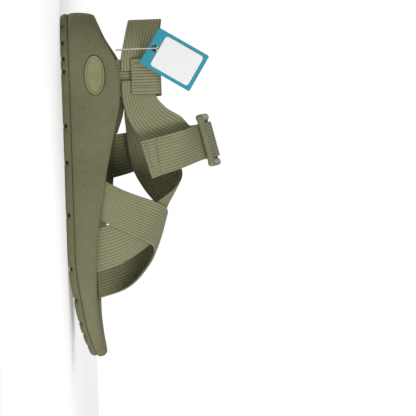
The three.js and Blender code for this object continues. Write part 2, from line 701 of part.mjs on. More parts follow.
function assemble() {
  const channelCutters = [
    ...runs.map(({ medial, lateral }) => soleRun(medial, lateral, channelClearance, 2)),
    forefootStrap(channelClearance),
    instepStrap(channelClearance),
    midfootStrap(channelClearance),
    riser(1, channelClearance),
    riser(-1, channelClearance),
    medallionSolid(seatGap),
  ];
  const uppers = [
    addMesh("forefoot_strap", forefootStrap(0), webbingLook),
    addMesh("instep_strap", instepStrap(0), webbingLook),
    addMesh("midfoot_strap", midfootStrap(0), webbingLook),
    quarterStrap(),
    buckle(),
    buckleWrap(),
    pullTab(),
    ...pullTabHem(),
    addMesh("medial_riser", riser(1, 0), webbingLook),
    addMesh("lateral_riser", riser(-1, 0), webbingLook),
    heelStrap(),
  ];
  const tacks = [["medial", 1], ["lateral", -1]].flatMap(([word, side]) => [
    barTack(`${word}_front_bar_tack`, side, riserSlot[1] - 0.017),
    barTack(`${word}_rear_bar_tack`, side, riserSlot[0] + 0.017),
  ]);
  const medallion = addMesh("heel_medallion", medallionSolid(0), badgeLook);
  const sole = [midsole(channelCutters), outsole(), medallion, ...soleRuns()];
  const pieces = new THREE.Group();
  pieces.add(...sole, ...uppers, ...tacks, ...hangTag());
  return standOnOrigin(pieces);
}

// The origin is under the middle of the whole sandal, on the surface that it stands on.
function standOnOrigin(pieces) {
  const box = new THREE.Box3().setFromObject(pieces);
  const middle = box.getCenter(new THREE.Vector3());
  pieces.position.set(-middle.x, -middle.y, -box.min.z);
  const sandal = new THREE.Group();
  sandal.add(pieces);
  return sandal;
}

export default assemble();
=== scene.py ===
# Looks of a strappy sport sandal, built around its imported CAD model.
import math

import bmesh
import bpy
import numpy as np
from mathutils import Matrix, Vector
from mathutils.bvhtree import BVHTree


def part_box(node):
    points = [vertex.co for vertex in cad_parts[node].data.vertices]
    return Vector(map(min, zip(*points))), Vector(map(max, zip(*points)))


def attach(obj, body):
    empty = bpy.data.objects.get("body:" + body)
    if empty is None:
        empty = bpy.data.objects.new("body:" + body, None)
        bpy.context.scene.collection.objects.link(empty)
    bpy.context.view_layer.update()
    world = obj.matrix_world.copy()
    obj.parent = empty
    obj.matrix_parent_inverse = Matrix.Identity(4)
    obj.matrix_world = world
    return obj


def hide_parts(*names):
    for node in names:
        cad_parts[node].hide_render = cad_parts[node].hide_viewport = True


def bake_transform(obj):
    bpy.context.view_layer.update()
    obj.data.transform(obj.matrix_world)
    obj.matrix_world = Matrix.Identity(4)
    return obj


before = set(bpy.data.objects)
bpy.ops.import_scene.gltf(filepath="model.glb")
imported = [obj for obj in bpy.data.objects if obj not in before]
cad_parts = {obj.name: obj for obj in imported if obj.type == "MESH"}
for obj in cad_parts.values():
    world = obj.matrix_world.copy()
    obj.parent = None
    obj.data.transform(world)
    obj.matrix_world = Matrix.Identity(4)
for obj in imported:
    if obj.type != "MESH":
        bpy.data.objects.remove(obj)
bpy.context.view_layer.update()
MM = 0.001

# Driving dimensions in millimetres, the same as the CAD model's.
SOLE_LENGTH = 292
HEEL_HALF = 38
ARCH_HALF = 36
BALL_HALF = 53
OUTSOLE_THICKNESS = 6.5
TREAD_DEPTH = 3.6
GROOVE_WIDTH = 3.4
GROOVE_REACH = 24
CHANNEL_RISE = 4
SLOT_INSET = 8.5
SEAT_GAP = 0.3
SIDE_BULGE = 1.2
RIM_WIDTH = 6
WEBBING_WIDTH = 30
WEBBING_THICKNESS = 1.8
CHANNEL_CLEARANCE = 0.5
TAB_LENGTH = 55
FOLD_LENGTH = 20
ANKLE_HEIGHT = 124
INSTEP_HEIGHT = 104
FOREFOOT_HEIGHT = 66
FORM_ROUNDNESS = 2.3
BUCKLE_THICKNESS = 4
BAR_WIDTH = 4
WINDOW_WIDTH = 6
RAIL_WIDTH = 6
HEEL_ROUND_SHARE = 0.14
TOE_ROUND_SHARE = 0.22
END_ROUNDNESS = 2.25
LAYER_PITCH = WEBBING_THICKNESS + 0.5
OUTSIDE_WEBBING = WEBBING_THICKNESS / 2 + SEAT_GAP
HALF_WEBBING = WEBBING_WIDTH / 2
BUCKLE_LENGTH = WEBBING_WIDTH + 2 * (1.5 + RAIL_WIDTH)

# The sandal's own heel-to-toe line in the frame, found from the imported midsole.
midsole_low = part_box("midsole")[0]
ORIGIN = np.array([midsole_low[0] / MM, 0.0, 0.0])


def through(points):
    """A smooth function of one number through (input, value) points."""
    xs = np.array([p[0] for p in points], float)
    ys = np.array([p[1] for p in points], float)
    before = np.maximum(np.arange(len(xs)) - 1, 0)
    after = np.minimum(np.arange(len(xs)) + 1, len(xs) - 1)
    slopes = (ys[after] - ys[before]) / (xs[after] - xs[before])

    def value(x):
        x = np.asarray(x, float)
        i = np.clip(np.searchsorted(xs, x, side="left") - 1, 0, len(xs) - 2)
        span = xs[i + 1] - xs[i]
        t = np.clip((x - xs[i]) / span, 0, 1)
        start = ys[i] * (1 + 2 * t) * (1 - t) ** 2
        end = ys[i + 1] * (3 - 2 * t) * t**2
        return start + end + slopes[i] * span * t * (1 - t) ** 2 + slopes[i + 1] * span * t**2 * (t - 1)

    return value


centre_line = through([(0, 0), (0.2, -0.5), (0.33, -3), (0.45, -6), (0.55, -6), (0.65, -2), (0.75, 0.5),
                       (0.85, 3), (0.93, 8), (1, 12)])
full_half_width = through([(0, HEEL_HALF), (0.17, HEEL_HALF), (0.36, ARCH_HALF), (0.46, ARCH_HALF + 1),
                           (0.56, (ARCH_HALF + BALL_HALF) / 2 - 2),
                            (0.66, BALL_HALF - 4.5), (0.76, BALL_HALF),
                           (0.86, BALL_HALF - 2), (1, BALL_HALF - 11)])
toe_spring = through([(0.5, 0), (0.7, 0), (0.77, 1), (0.85, 4), (0.93, 7.8), (1, 13.5)])
lateral_rim = through([(0, 29), (0.06, 35), (0.147, 47), (0.253, 48.5), (0.3, 46), (0.44, 37), (0.555, 31),
                       (0.63, 27), (0.73, 24.5), (0.85, 23.5), (0.92, 25), (1, 28.5)])
medial_rim = through([(0, 29), (0.06, 36), (0.147, 49), (0.28, 50), (0.36, 43), (0.5, 38.5), (0.58, 34),
                      (0.68, 28), (0.78, 25.2), (0.87, 24), (0.94, 25.5), (1, 28.5)])
footbed = through([
    (0, 24), (0.15, 25), (0.35, 26.5), (0.5, 25), (0.65, 21.5), (0.78, 19.8), (0.9, 20.5), (1, 24)])
form_top = through([
    (0, ANKLE_HEIGHT), (0.3, ANKLE_HEIGHT - 4), (0.38, INSTEP_HEIGHT + 9), (0.45, INSTEP_HEIGHT - 1),
    (0.52, INSTEP_HEIGHT - 12), (0.575, FOREFOOT_HEIGHT + 17), (0.65, FOREFOOT_HEIGHT + 10),
    (0.71, FOREFOOT_HEIGHT + 3), (0.77, FOREFOOT_HEIGHT - 6), (0.84, FOREFOOT_HEIGHT - 18),
    (1, FOREFOOT_HEIGHT - 34)])


def ground_line(share):
    return np.maximum(0, toe_spring(share))


def outsole_top(share):
    return ground_line(share) + OUTSOLE_THICKNESS


def rim(share, side):
    return np.where(np.asarray(side) < 0, lateral_rim(share), medial_rim(share))


def end_rounding(share):
    share = np.asarray(share, float)
    heel = (HEEL_ROUND_SHARE - share) / HEEL_ROUND_SHARE
    toe = (share - 1 + TOE_ROUND_SHARE) / TOE_ROUND_SHARE
    past = np.clip(np.maximum(heel, toe), 0, 1)
    return (1 - past**END_ROUNDNESS) ** (1 / END_ROUNDNESS)


def plan_point(share, side, inset, height):
    """Points of the sole's plan, in the sandal's own millimetres."""
    share = np.asarray(share, float)
    half = (full_half_width(share) - inset) * end_rounding(share)
    x = inset + share * (SOLE_LENGTH - 2 * inset)
    return np.stack(np.broadcast_arrays(x, centre_line(share) + side * half, height), -1)


def form_point(share, degrees, lift):
    """Points on the foot space, 0 degrees medial to 180 lateral, lifted square to its section."""
    share, degrees, lift = np.broadcast_arrays(np.asarray(share, float), degrees, lift)
    angle = np.radians(degrees)
    half = full_half_width(share) - SLOT_INSET
    base = footbed(share) + 1
    height = form_top(share) - base
    across = np.cos(angle) / half
    upward = np.sin(angle) / height
    n = FORM_ROUNDNESS
    radius = (np.abs(across) ** n + np.abs(upward) ** n) ** (-1 / n)
    ny = np.sign(across) * np.abs(across * radius) ** (n - 1) / half
    nz = np.abs(upward * radius) ** (n - 1) / height
    size = np.hypot(ny, nz)
    y = centre_line(share) + radius * np.cos(angle) + lift * ny / size
    z = base + radius * np.sin(angle) + lift * nz / size
    return np.stack([share * SOLE_LENGTH, y, z], -1)


def form_angle(share, height, side):
    """Angle in degrees at which the foot space reaches a height on one side."""
    half = float(full_half_width(share)) - SLOT_INSET
    base = float(footbed(share)) + 1
    rise = min((height - base) / (float(form_top(share)) - base), 1) ** FORM_ROUNDNESS
    angle = math.degrees(math.atan2(height - base, half * (1 - rise) ** (1 / FORM_ROUNDNESS)))
    return 180 - angle if side < 0 else angle


def route(points):
    """A centripetal Catmull-Rom curve through points: a function of 0 to 1."""
    pts = np.array(points, float)
    pts = np.vstack([2 * pts[0] - pts[1], pts, 2 * pts[-1] - pts[-2]])

    def at(t):
        place = np.clip(t, 0, 1) * (len(pts) - 3)
        i = min(int(place), len(pts) - 4)
        w = place - i
        a, b, c, d = pts[i : i + 4]
        gaps = [max(np.linalg.norm(q - p), 1e-8) ** 0.5 for p, q in ((a, b), (b, c), (c, d))]
        g0, g1, g2 = gaps
        t1 = ((b - a) / g0 - (c - a) / (g0 + g1) + (c - b) / g1) * g1
        t2 = ((c - b) / g1 - (d - b) / (g1 + g2) + (d - c) / g2) * g1
        return b + w * t1 + w**2 * (3 * (c - b) - 2 * t1 - t2) + w**3 * (2 * (b - c) + t1 + t2)

    return at


def ruled(first, second, steps, columns, start=0.0, end=1.0):
    """Grid of points between two edge routes."""
    a, b = route(first), route(second)
    places = np.linspace(start, end, steps + 1)
    lows = np.array([a(t) for t in places])
    highs = np.array([b(t) for t in places])
    v = np.linspace(0, 1, columns + 1)[None, :, None]
    return lows[:, None] * (1 - v) + highs[:, None] * v


def laid(front, rear, lift, steps, columns):
    """Grid of points on the foot space between two edges given as (share, degrees)."""
    a, b = route(rear), route(front)
    places = np.linspace(0, 1, steps + 1)
    lows = np.array([a(t) for t in places])
    highs = np.array([b(t) for t in places])
    v = np.linspace(0, 1, columns + 1)[None, :, None]
    grid = lows[:, None] * (1 - v) + highs[:, None] * v
    lifts = np.array([lift(t) for t in places])[:, None]
    return form_point(grid[..., 0], grid[..., 1], lifts)


fine_shares = np.linspace(0, 1, 601)
ORIGIN[1] = midsole_low[1] / MM - plan_point(fine_shares, -1, 0, 0)[:, 1].min()


def grid_normals(grid):
    along = np.gradient(grid, axis=0)
    across = np.gradient(grid, axis=1)
    normal = np.cross(along, across)
    return normal / np.maximum(np.linalg.norm(normal, axis=-1, keepdims=True), 1e-9)


def mesh_object(name, points, faces, material, uv=None, flat=False):
    """A mesh from points in the sandal's millimetres; uv holds one pair for each point."""
    mesh = bpy.data.meshes.new(name)
    mesh.from_pydata(((np.asarray(points) + ORIGIN) * MM).tolist(), [], faces)
    if uv is not None:
        layer = mesh.uv_layers.new(name="cloth")
        loops = np.empty(len(mesh.loops), int)
        mesh.loops.foreach_get("vertex_index", loops)
        layer.data.foreach_set("uv", np.asarray(uv, float)[loops].ravel())
    mesh.polygons.foreach_set("use_smooth", [not flat] * len(mesh.polygons))
    obj = bpy.data.objects.new(name, mesh)
    bpy.context.scene.collection.objects.link(obj)
    obj.data.materials.append(material)
    face_out(obj)
    return obj


def face_out(obj):
    bm = bmesh.new()
    bm.from_mesh(obj.data)
    bmesh.ops.recalc_face_normals(bm, faces=bm.faces)
    if bm.calc_volume(signed=True) < 0:
        bmesh.ops.reverse_faces(bm, faces=bm.faces)
    bm.to_mesh(obj.data)
    bm.free()


def applied(obj):
    """Applies every modifier of an object to its mesh."""
    graph = bpy.context.evaluated_depsgraph_get()
    mesh = bpy.data.meshes.new_from_object(obj.evaluated_get(graph))
    old = obj.data
    obj.modifiers.clear()
    obj.data = mesh
    bpy.data.meshes.remove(old)
    return obj


def sheet_faces(rows, columns):
    """Faces of a closed sheet of rows by columns quads: two grids and their border."""
    row = columns + 1
    size = (rows + 1) * row
    faces = []
    for i in range(rows):
        for j in range(columns):
            a = i * row + j
            faces.append((a, a + 1, a + row + 1, a + row))
            faces.append((size + a, size + a + row, size + a + row + 1, size + a + 1))
    border = [(0, j) for j in range(columns)] + [(i, columns) for i in range(rows)]
    border += [(rows, j) for j in range(columns, 0, -1)] + [(i, 0) for i in range(rows, 0, -1)]
    rim_loop = [i * row + j for i, j in border]
    for k, a in enumerate(rim_loop):
        b = rim_loop[(k + 1) % len(rim_loop)]
        faces.append((b, a, size + a, size + b))
    return faces


def stack_faces(rings, count, base=0, capped=True):
    """Faces between rings of count points numbered from base, with a flat cap on the first and last."""
    faces = []
    for r in range(rings - 1):
        a, b = base + r * count, base + (r + 1) * count
        faces += [(a + k, a + (k + 1) % count, b + (k + 1) % count, b + k) for k in range(count)]
    if capped:
        last = base + (rings - 1) * count
        faces.append(tuple(range(base + count - 1, base - 1, -1)))
        faces.append(tuple(range(last, last + count)))
    return faces


RIBS = 12
RIB_RELIEF = 0.13
SELVAGE_SHARE = 0.03


def webbing(name, grid, material, ribs=RIBS, thickness=WEBBING_THICKNESS, rounded_ends=False):
    """Woven webbing with ribs along it and rounded selvages, on a grid of middle points."""
    rows, columns = grid.shape[0] - 1, grid.shape[1] - 1
    normal = grid_normals(grid)
    v = np.linspace(0, 1, columns + 1)
    edge = np.clip(np.minimum(v, 1 - v) / SELVAGE_SHARE, 0, 1)
    body = 0.35 + 0.65 * np.sqrt(1 - (1 - edge) ** 2)
    relief = RIB_RELIEF * (np.abs(np.sin(math.pi * ribs * v)) ** 0.8 - 0.6)
    half = (body * thickness / 2 + relief)[None, :, None] * np.ones((rows + 1, 1, 1))
    if rounded_ends:
        half[[0, -1]] *= 0.5
    middle = grid[:, columns // 2]
    along = np.concatenate([[0], np.cumsum(np.linalg.norm(np.diff(middle, axis=0), axis=1))])
    width = np.linalg.norm(np.diff(grid, axis=1), axis=2).sum(1).mean()
    u_map = np.broadcast_to(along[:, None], grid.shape[:2]) * MM
    v_map = np.broadcast_to((v * width)[None], grid.shape[:2]) * MM
    uv = np.stack([u_map, v_map], -1).reshape(-1, 2)
    points = np.concatenate([(grid - half * normal).reshape(-1, 3), (grid + half * normal).reshape(-1, 3)])
    return mesh_object(name, points, sheet_faces(rows, columns), material, uv=np.vstack([uv, uv]))


def ring_mesh(name, rings, material, steps=90, top_material=None, top_from=0):
    """Closed body between rings round the sole's plan, from the middle of its base to its top.

    Faces above ring top_from get top_material, if it is given.
    """
    count = 2 * steps
    index = np.arange(count)
    side = np.where(index <= steps, -1, 1)
    step = np.where(index <= steps, index, count - index)
    share = (1 - np.cos(math.pi * step / steps)) / 2
    layers = []
    for ring in rings:
        inset, height = ring(share, side)
        layers.append(plan_point(share, side, inset, height))
    points = np.concatenate(layers)
    faces = stack_faces(len(rings), count, capped=False)
    top = (len(rings) - 1) * count
    faces += [(0, count - 1, 1), (steps, steps - 1, steps + 1)]
    faces += [(top, top + 1, top + count - 1), (top + steps, top + steps + 1, top + steps - 1)]
    for i in range(1, steps - 1):
        faces.append((count - i, count - i - 1, i + 1, i))
        faces.append((top + i, top + i + 1, top + count - i - 1, top + count - i))
    obj = mesh_object(name, points, faces, material)
    if top_material:
        obj.data.materials.append(top_material)
        for face in obj.data.polygons:
            face.material_index = int(min(face.vertices) >= top_from * count)
    return obj


def cut(obj, cutters, solver="EXACT"):
    """Cuts the cutters' meshes out of an object and removes them."""
    joined = bpy.data.collections.new("cutters")
    for cutter in cutters:
        joined.objects.link(cutter)
    modifier = obj.modifiers.new("cut", "BOOLEAN")
    modifier.operation = "DIFFERENCE"
    modifier.solver = solver
    modifier.operand_type = "COLLECTION"
    modifier.collection = joined
    applied(obj)
    for cutter in cutters:
        bpy.data.objects.remove(cutter)
    bpy.data.collections.remove(joined)
    return obj


def cutter_strip(grid, extra):
    """A plain thick sheet on a grid, widened and thickened, for cutting a channel."""
    normal = grid_normals(grid)
    sideways = grid[:, -1] - grid[:, 0]
    sideways /= np.linalg.norm(sideways, axis=-1, keepdims=True)
    spread = np.linspace(-1, 1, grid.shape[1])[None, :, None]
    wide = grid + sideways[:, None] * spread * extra
    half = WEBBING_THICKNESS / 2 + extra
    points = np.concatenate([(wide - half * normal).reshape(-1, 3), (wide + half * normal).reshape(-1, 3)])
    return mesh_object("cutter", points, sheet_faces(grid.shape[0] - 1, grid.shape[1] - 1), materials["foam"])


# Node materials.
class Nodes:
    """Small helper that adds and links shader nodes of one material."""

    def __init__(self, name, colour, roughness):
        self.material = bpy.data.materials.new(name)
        self.material.use_nodes = True
        self.tree = self.material.node_tree
        self.shader = self.tree.nodes["Principled BSDF"]
        self.shader.inputs["Base Color"].default_value = (*colour, 1)
        self.shader.inputs["Roughness"].default_value = roughness
        self.material.diffuse_color = (*colour, 1)

    def add(self, kind, **settings):
        node = self.tree.nodes.new(kind)
        for key, value in settings.items():
            setattr(node, key, value)
        return node

    def link(self, source, target):
        self.tree.links.new(source, target)

    def math(self, operation, first, second=0.0, third=0.0):
        node = self.add("ShaderNodeMath", operation=operation)
        for socket, value in zip(node.inputs, (first, second, third)):
            if isinstance(value, (int, float)):
                socket.default_value = value
            else:
                self.link(value, socket)
        return node.outputs[0]

    def ramp(self, source, stops):
        node = self.add("ShaderNodeValToRGB")
        self.link(source, node.inputs[0])
        elements = node.color_ramp.elements
        while len(elements) < len(stops):
            elements.new(0.5)
        for element, (position, colour) in zip(elements, stops):
            element.position = position
            element.color = (*colour, 1)
        return node.outputs["Color"]

    def noise(self, scale, detail=3.0, roughness=0.5, vector=None):
        node = self.add("ShaderNodeTexNoise")
        node.inputs["Scale"].default_value = scale
        node.inputs["Detail"].default_value = detail
        node.inputs["Roughness"].default_value = roughness
        self.link(vector if vector is not None else self.object_coordinates(), node.inputs["Vector"])
        return node.outputs["Fac"]

    def object_coordinates(self):
        if not hasattr(self, "coordinates"):
            self.coordinates = self.add("ShaderNodeTexCoord").outputs["Object"]
        return self.coordinates

    def bump(self, height, distance, strength=1.0, below=None):
        node = self.add("ShaderNodeBump")
        node.inputs["Strength"].default_value = strength
        node.inputs["Distance"].default_value = distance
        self.link(height, node.inputs["Height"])
        if below is not None:
            self.link(below, node.inputs["Normal"])
        self.link(node.outputs[0], self.shader.inputs["Normal"])
        return node.outputs[0]


def srgb(red, green, blue):
    """A colour from 0 to 255 display values."""
    shares = [c / 255 for c in (red, green, blue)]
    return tuple(((c + 0.055) / 1.055) ** 2.4 if c > 10 / 255 else c / 12.92 for c in shares)


def shade(colour, factor):
    return tuple(c * factor for c in colour)


WEBBING_COLOUR = srgb(132, 131, 101)
FOAM_COLOUR = srgb(113, 112, 84)
WEFT_PITCH = 0.0022
RIB_PITCH = WEBBING_WIDTH * MM / RIBS


def webbing_material(name, colour, pips=0.35):
    """Coarse woven polyester: ribs of warp crossed by weft pips, seen through the cloth's own map, coloured
    darker in the weave's gaps as painted shade and lighter on its crests as painted light.
    """
    n = Nodes(name, colour, 0.82)
    uv = n.add("ShaderNodeUVMap", uv_map="cloth")
    split = n.add("ShaderNodeSeparateXYZ")
    n.link(uv.outputs[0], split.inputs[0])
    across = n.math("DIVIDE", split.outputs["Y"], RIB_PITCH)
    along = n.math("DIVIDE", split.outputs["X"], WEFT_PITCH)
    row = n.math("FLOOR", across)
    odd = n.math("MODULO", row, 2.0)
    rib = n.math("ABSOLUTE", n.math("SINE", n.math("MULTIPLY", across, math.pi)))
    turn = n.math("ADD", n.math("MULTIPLY", along, 2 * math.pi), n.math("MULTIPLY", odd, math.pi))
    pip = n.math("MULTIPLY_ADD", n.math("SINE", turn), 0.5, 0.5)
    fibre = n.noise(2600, 2.0)
    weave = n.math("MULTIPLY", n.math("POWER", rib, 0.6), n.math("MULTIPLY_ADD", pip, pips, 1 - pips))
    height = n.math("ADD", weave, n.math("MULTIPLY", fibre, 0.35))
    cloudy = n.noise(28, 3.0)
    # Painted shade and light: the colour follows the weave's height, dark in the gaps between ribs and pips
    # and light on their crests, over a random cloudy tone.
    tone = n.math("MULTIPLY_ADD", cloudy, 0.22, n.math("MULTIPLY", height, 0.62))
    weave_shade_stops = [(0.14, 0.3), (0.42, 0.82), (0.74, 1.22)]
    colours = n.ramp(tone, [(at, shade(colour, strength)) for at, strength in weave_shade_stops])
    n.link(colours, n.shader.inputs["Base Color"])
    n.bump(height, 0.00045, 0.8)
    n.shader.inputs["Sheen Weight"].default_value = 0.06
    n.shader.inputs["Sheen Roughness"].default_value = 0.45
    n.shader.inputs["Specular IOR Level"].default_value = 0.15
    return n.material


def foam_material(name, colour):
    """Moulded foam with a fine stippled grain."""
    n = Nodes(name, colour, 0.62)
    grain = n.noise(1500, 2.0, 0.6)
    cloudy = n.noise(22, 4.0)
    wear = n.noise(160, 5.0, 0.65)
    speckle = n.noise(620, 2.0, 0.7)
    mottle = n.math("MULTIPLY_ADD", speckle, 0.3, n.math("MULTIPLY", grain, 0.2))
    tone = n.math("MULTIPLY_ADD", cloudy, 0.28, n.math("MULTIPLY_ADD", wear, 0.22, mottle))
    colours = n.ramp(tone, [(0.36, shade(colour, 0.74)), (0.5, colour), (0.63, shade(colour, 1.2))])
    n.link(colours, n.shader.inputs["Base Color"])
    n.link(n.ramp(wear, [(0.3, (0.6,) * 3), (0.7, (0.8,) * 3)]), n.shader.inputs["Roughness"])
    n.bump(n.math("MULTIPLY_ADD", speckle, 0.6, grain), 0.0003, 0.9)
    n.shader.inputs["Specular IOR Level"].default_value = 0.18
    return n.material


def plastic_material(name, colour, roughness=0.42):
    """Moulded plastic with a faint orange-peel skin and rubbed high spots."""
    n = Nodes(name, colour, roughness)
    peel = n.noise(900, 2.0)
    cloudy = n.noise(60, 3.0)
    colours = n.ramp(cloudy, [(0.3, shade(colour, 0.9)), (0.7, shade(colour, 1.1))])
    n.link(colours, n.shader.inputs["Base Color"])
    low, high = roughness - 0.08, roughness + 0.1
    n.link(n.ramp(peel, [(0.3, (low,) * 3), (0.7, (high,) * 3)]), n.shader.inputs["Roughness"])
    n.bump(peel, 0.00008, 0.6)
    n.shader.inputs["Specular IOR Level"].default_value = 0.22
    return n.material


def thread_material(name, colour):
    """Twisted sewing thread."""
    n = Nodes(name, colour, 0.6)
    ply = n.noise(3200, 1.0)
    n.link(n.ramp(ply, [(0.3, shade(colour, 0.7)), (0.7, shade(colour, 1.2))]), n.shader.inputs["Base Color"])
    n.bump(ply, 0.0001, 0.8)
    n.shader.inputs["Sheen Weight"].default_value = 0.3
    return n.material


def card_material(name, colour, roughness=0.55):
    """Printed card or paper with a faint fibre."""
    n = Nodes(name, colour, roughness)
    fibre = n.noise(700, 4.0, 0.6)
    colours = n.ramp(fibre, [(0.3, shade(colour, 0.93)), (0.7, shade(colour, 1.05))])
    n.link(colours, n.shader.inputs["Base Color"])
    n.bump(fibre, 0.00005, 0.5)
    return n.material


materials = {
    "foam": foam_material("moulded_foam", FOAM_COLOUR),
    "footbed": foam_material("footbed_foam", shade(FOAM_COLOUR, 0.86)),
    "rubber": foam_material("outsole_rubber", shade(FOAM_COLOUR, 0.9)),
    "webbing": webbing_material("strap_webbing", WEBBING_COLOUR),
    "thread": thread_material("bar_tack_thread", shade(WEBBING_COLOUR, 1.1)),
    "badge": plastic_material("badge_rubber", srgb(139, 140, 102), 0.5),
    "buckle": plastic_material("buckle_plastic", srgb(124, 125, 94), 0.55),
    "card": card_material("tag_card_teal", srgb(35, 145, 165)),
    "label": card_material("tag_label_white", srgb(236, 236, 234)),
    "clear": plastic_material("tag_loop_plastic", srgb(196, 197, 188), 0.35),
}


END_TRIM = 0.004
WEB_COLUMNS = RIBS * 6
STRAP_ROWS = 90


def strip(first, second, steps=STRAP_ROWS, columns=WEB_COLUMNS):
    return ruled(first, second, steps, columns, END_TRIM, 1 - END_TRIM)


def place(obj, body, slot, *nodes):
    """Lets a piece move with a body and stands it for CAD nodes; its slot is not used."""
    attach(obj, body)
    if nodes:
        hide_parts(*nodes)
    return obj


# Where the webbing enters the sole, as [rear, front] shares of the sole's length.
FOREFOOT_MEDIAL = (0.709, 0.836)
FOREFOOT_LATERAL = (0.627, 0.753)
MIDFOOT_LATERAL = (0.473, 0.592)
MIDFOOT_MEDIAL = (0.356, 0.483)
RISER = (0.145, 0.145 + WEBBING_WIDTH / SOLE_LENGTH)
RUN_BEND = 5


def run_edge(medial_share, lateral_share, rise):
    sides = []
    for share, degrees, inward in ((medial_share, 0, -1), (lateral_share, 180, 1)):
        x, y, z = form_point(share, degrees, 0)
        deep = float(outsole_top(share)) + CHANNEL_RISE
        sides.append([
            (x, y, z + rise),
            (x, y, (z + deep + RUN_BEND) / 2),
            (x, y + inward * 0.28 * RUN_BEND, deep + 0.28 * RUN_BEND),
            (x, y + inward * 1.2 * RUN_BEND, deep),
        ])
    medial, lateral = sides
    middle = tuple((np.array(medial[3]) + np.array(lateral[3])) / 2)
    return [*medial, middle, *reversed(lateral)]


def sole_run(medial_slot, lateral_slot, rise, steps=STRAP_ROWS, columns=WEB_COLUMNS):
    return strip(*(run_edge(m, l, rise) for m, l in zip(medial_slot, lateral_slot)), steps, columns)


SOLE_RUNS = {
    "forefoot_sole_run": (FOREFOOT_MEDIAL, FOREFOOT_LATERAL),
    "midfoot_sole_run": (MIDFOOT_MEDIAL, MIDFOOT_LATERAL),
    "heel_sole_run": (RISER, RISER),
}
STRAP_LOW = 50
STRAP_HIGH = STRAP_LOW + WEBBING_WIDTH - 2
RISER_MIDDLE = sum(RISER) / 2
TAIL_SHARE = RISER_MIDDLE + 0.009
RISER_EXIT = RISER[1] + 0.003


def forefoot_strap(steps=STRAP_ROWS, columns=WEB_COLUMNS):
    front = [[0.836, 0], [0.796, 45], [0.714, 90], [0.653, 135], [0.592, 180]]
    rear = [[0.709, 0], [0.67, 45], [0.59, 90], [0.531, 135], [0.473, 180]]
    return laid(front, rear, lambda t: LAYER_PITCH * min(1, 12 * t, 12 * (1 - t)), steps, columns)


def smoothstep(x, low, high):
    t = min(max((x - low) / (high - low), 0), 1)
    return t * t * (3 - 2 * t)


def instep_strap(steps=STRAP_ROWS, columns=WEB_COLUMNS):
    def low(share):
        return [share, form_angle(share, STRAP_LOW, 1)]

    def high(share):
        return [share, form_angle(share, STRAP_HIGH, 1)]

    front = [[0.753, 180], [0.73, 150], [0.685, 118], [0.63, 90], [0.575, 70], [0.51, 54], [0.43, 45],
             [0.34, 41], low(RISER_EXIT), low(TAIL_SHARE)]
    rear = [[0.627, 180], [0.61, 150], [0.572, 120], [0.525, 100], [0.475, 84], [0.425, 74], [0.37, 68],
            [0.31, 66], high(RISER_EXIT), high(TAIL_SHARE)]
    return laid(front, rear, lambda t: LAYER_PITCH * smoothstep(t, 0.72, 0.85), steps, columns)


# The buckle's own frame: u along its bars, v across to the medial side, w up out of its face.
BUCKLE_SHARE = 0.384
BUCKLE_PLACE = Vector((BUCKLE_SHARE * SOLE_LENGTH, float(centre_line(BUCKLE_SHARE)) + 2,
                       float(form_top(BUCKLE_SHARE)) + 8))
BUCKLE_TURN = Matrix.Rotation(math.radians(-13), 4, "Y") @ Matrix.Rotation(math.radians(15), 4, "X")
BUCKLE_FRAME = Matrix.Translation(BUCKLE_PLACE) @ BUCKLE_TURN
BAR_REACH = BAR_WIDTH + WINDOW_WIDTH
BAR_LAYER = BUCKLE_THICKNESS / 2 + OUTSIDE_WEBBING
UNDER_LAYER = -BAR_LAYER - LAYER_PITCH - SEAT_GAP
LOOP_RADIUS = BAR_WIDTH / 2 + OUTSIDE_WEBBING


def in_buckle(u, v, w):
    return np.array(BUCKLE_FRAME @ Vector((u, v, w)))


def edge_to_buckle(on_form, u, path):
    return [*on_form, *(in_buckle(u, v, w) for v, w in path)]


def midfoot_edges():
    outside = 2 * LAYER_PITCH + 0.6
    rear_places = [[MIDFOOT_MEDIAL[0], 0, 0], [MIDFOOT_MEDIAL[0], 18, 0.6], [0.352, 38, 1.1], [0.34, 56, 1.5]]
    front_places = [
        [MIDFOOT_MEDIAL[1], 0, 0], [MIDFOOT_MEDIAL[1], 18, 0.6], [0.472, 40, 1.1], [0.452, 60, 1.5]]
    turn = []
    for i in range(7):
        angle = -math.pi / 2 - i * math.pi / 6
        turn.append([BAR_REACH + LOOP_RADIUS * math.cos(angle), LOOP_RADIUS * math.sin(angle)])
    incoming = [[BAR_REACH + FOLD_LENGTH, -LOOP_RADIUS - 8], [BAR_REACH + 10, -LOOP_RADIUS - 2.2]]
    outgoing = [[v + 1.1, w + LAYER_PITCH + 0.3] for v, w in reversed(incoming)]
    edges = []
    for places, u in ((rear_places, -HALF_WEBBING), (front_places, HALF_WEBBING)):
        on_form = [form_point(share, angle, lift * outside) for share, angle, lift in places]
        edges.append(edge_to_buckle(on_form, u, [*incoming, *turn, *outgoing]))
    return edges


def midfoot_strap(steps=150, columns=WEB_COLUMNS):
    return strip(*midfoot_edges(), steps, columns)


def quarter_strap():
    def low(share, height):
        return form_point(share, form_angle(share, height, -1), LAYER_PITCH)

    upper = [low(TAIL_SHARE, STRAP_HIGH), low(RISER_EXIT, STRAP_HIGH), low(0.287, 86), low(0.315, 98)]
    lower = [
        low(TAIL_SHARE, STRAP_LOW), low(RISER_EXIT, STRAP_LOW), low(0.33, 56), low(0.39, 70), low(0.425, 88)]
    path = [[-BAR_REACH - 6, UNDER_LAYER - 1.5], [-BAR_REACH, UNDER_LAYER], [-BAR_WIDTH, UNDER_LAYER + 0.4],
            [-SEAT_GAP, -BAR_LAYER - 0.9]]
    return strip(edge_to_buckle(upper, -HALF_WEBBING, path), edge_to_buckle(lower, HALF_WEBBING, path))


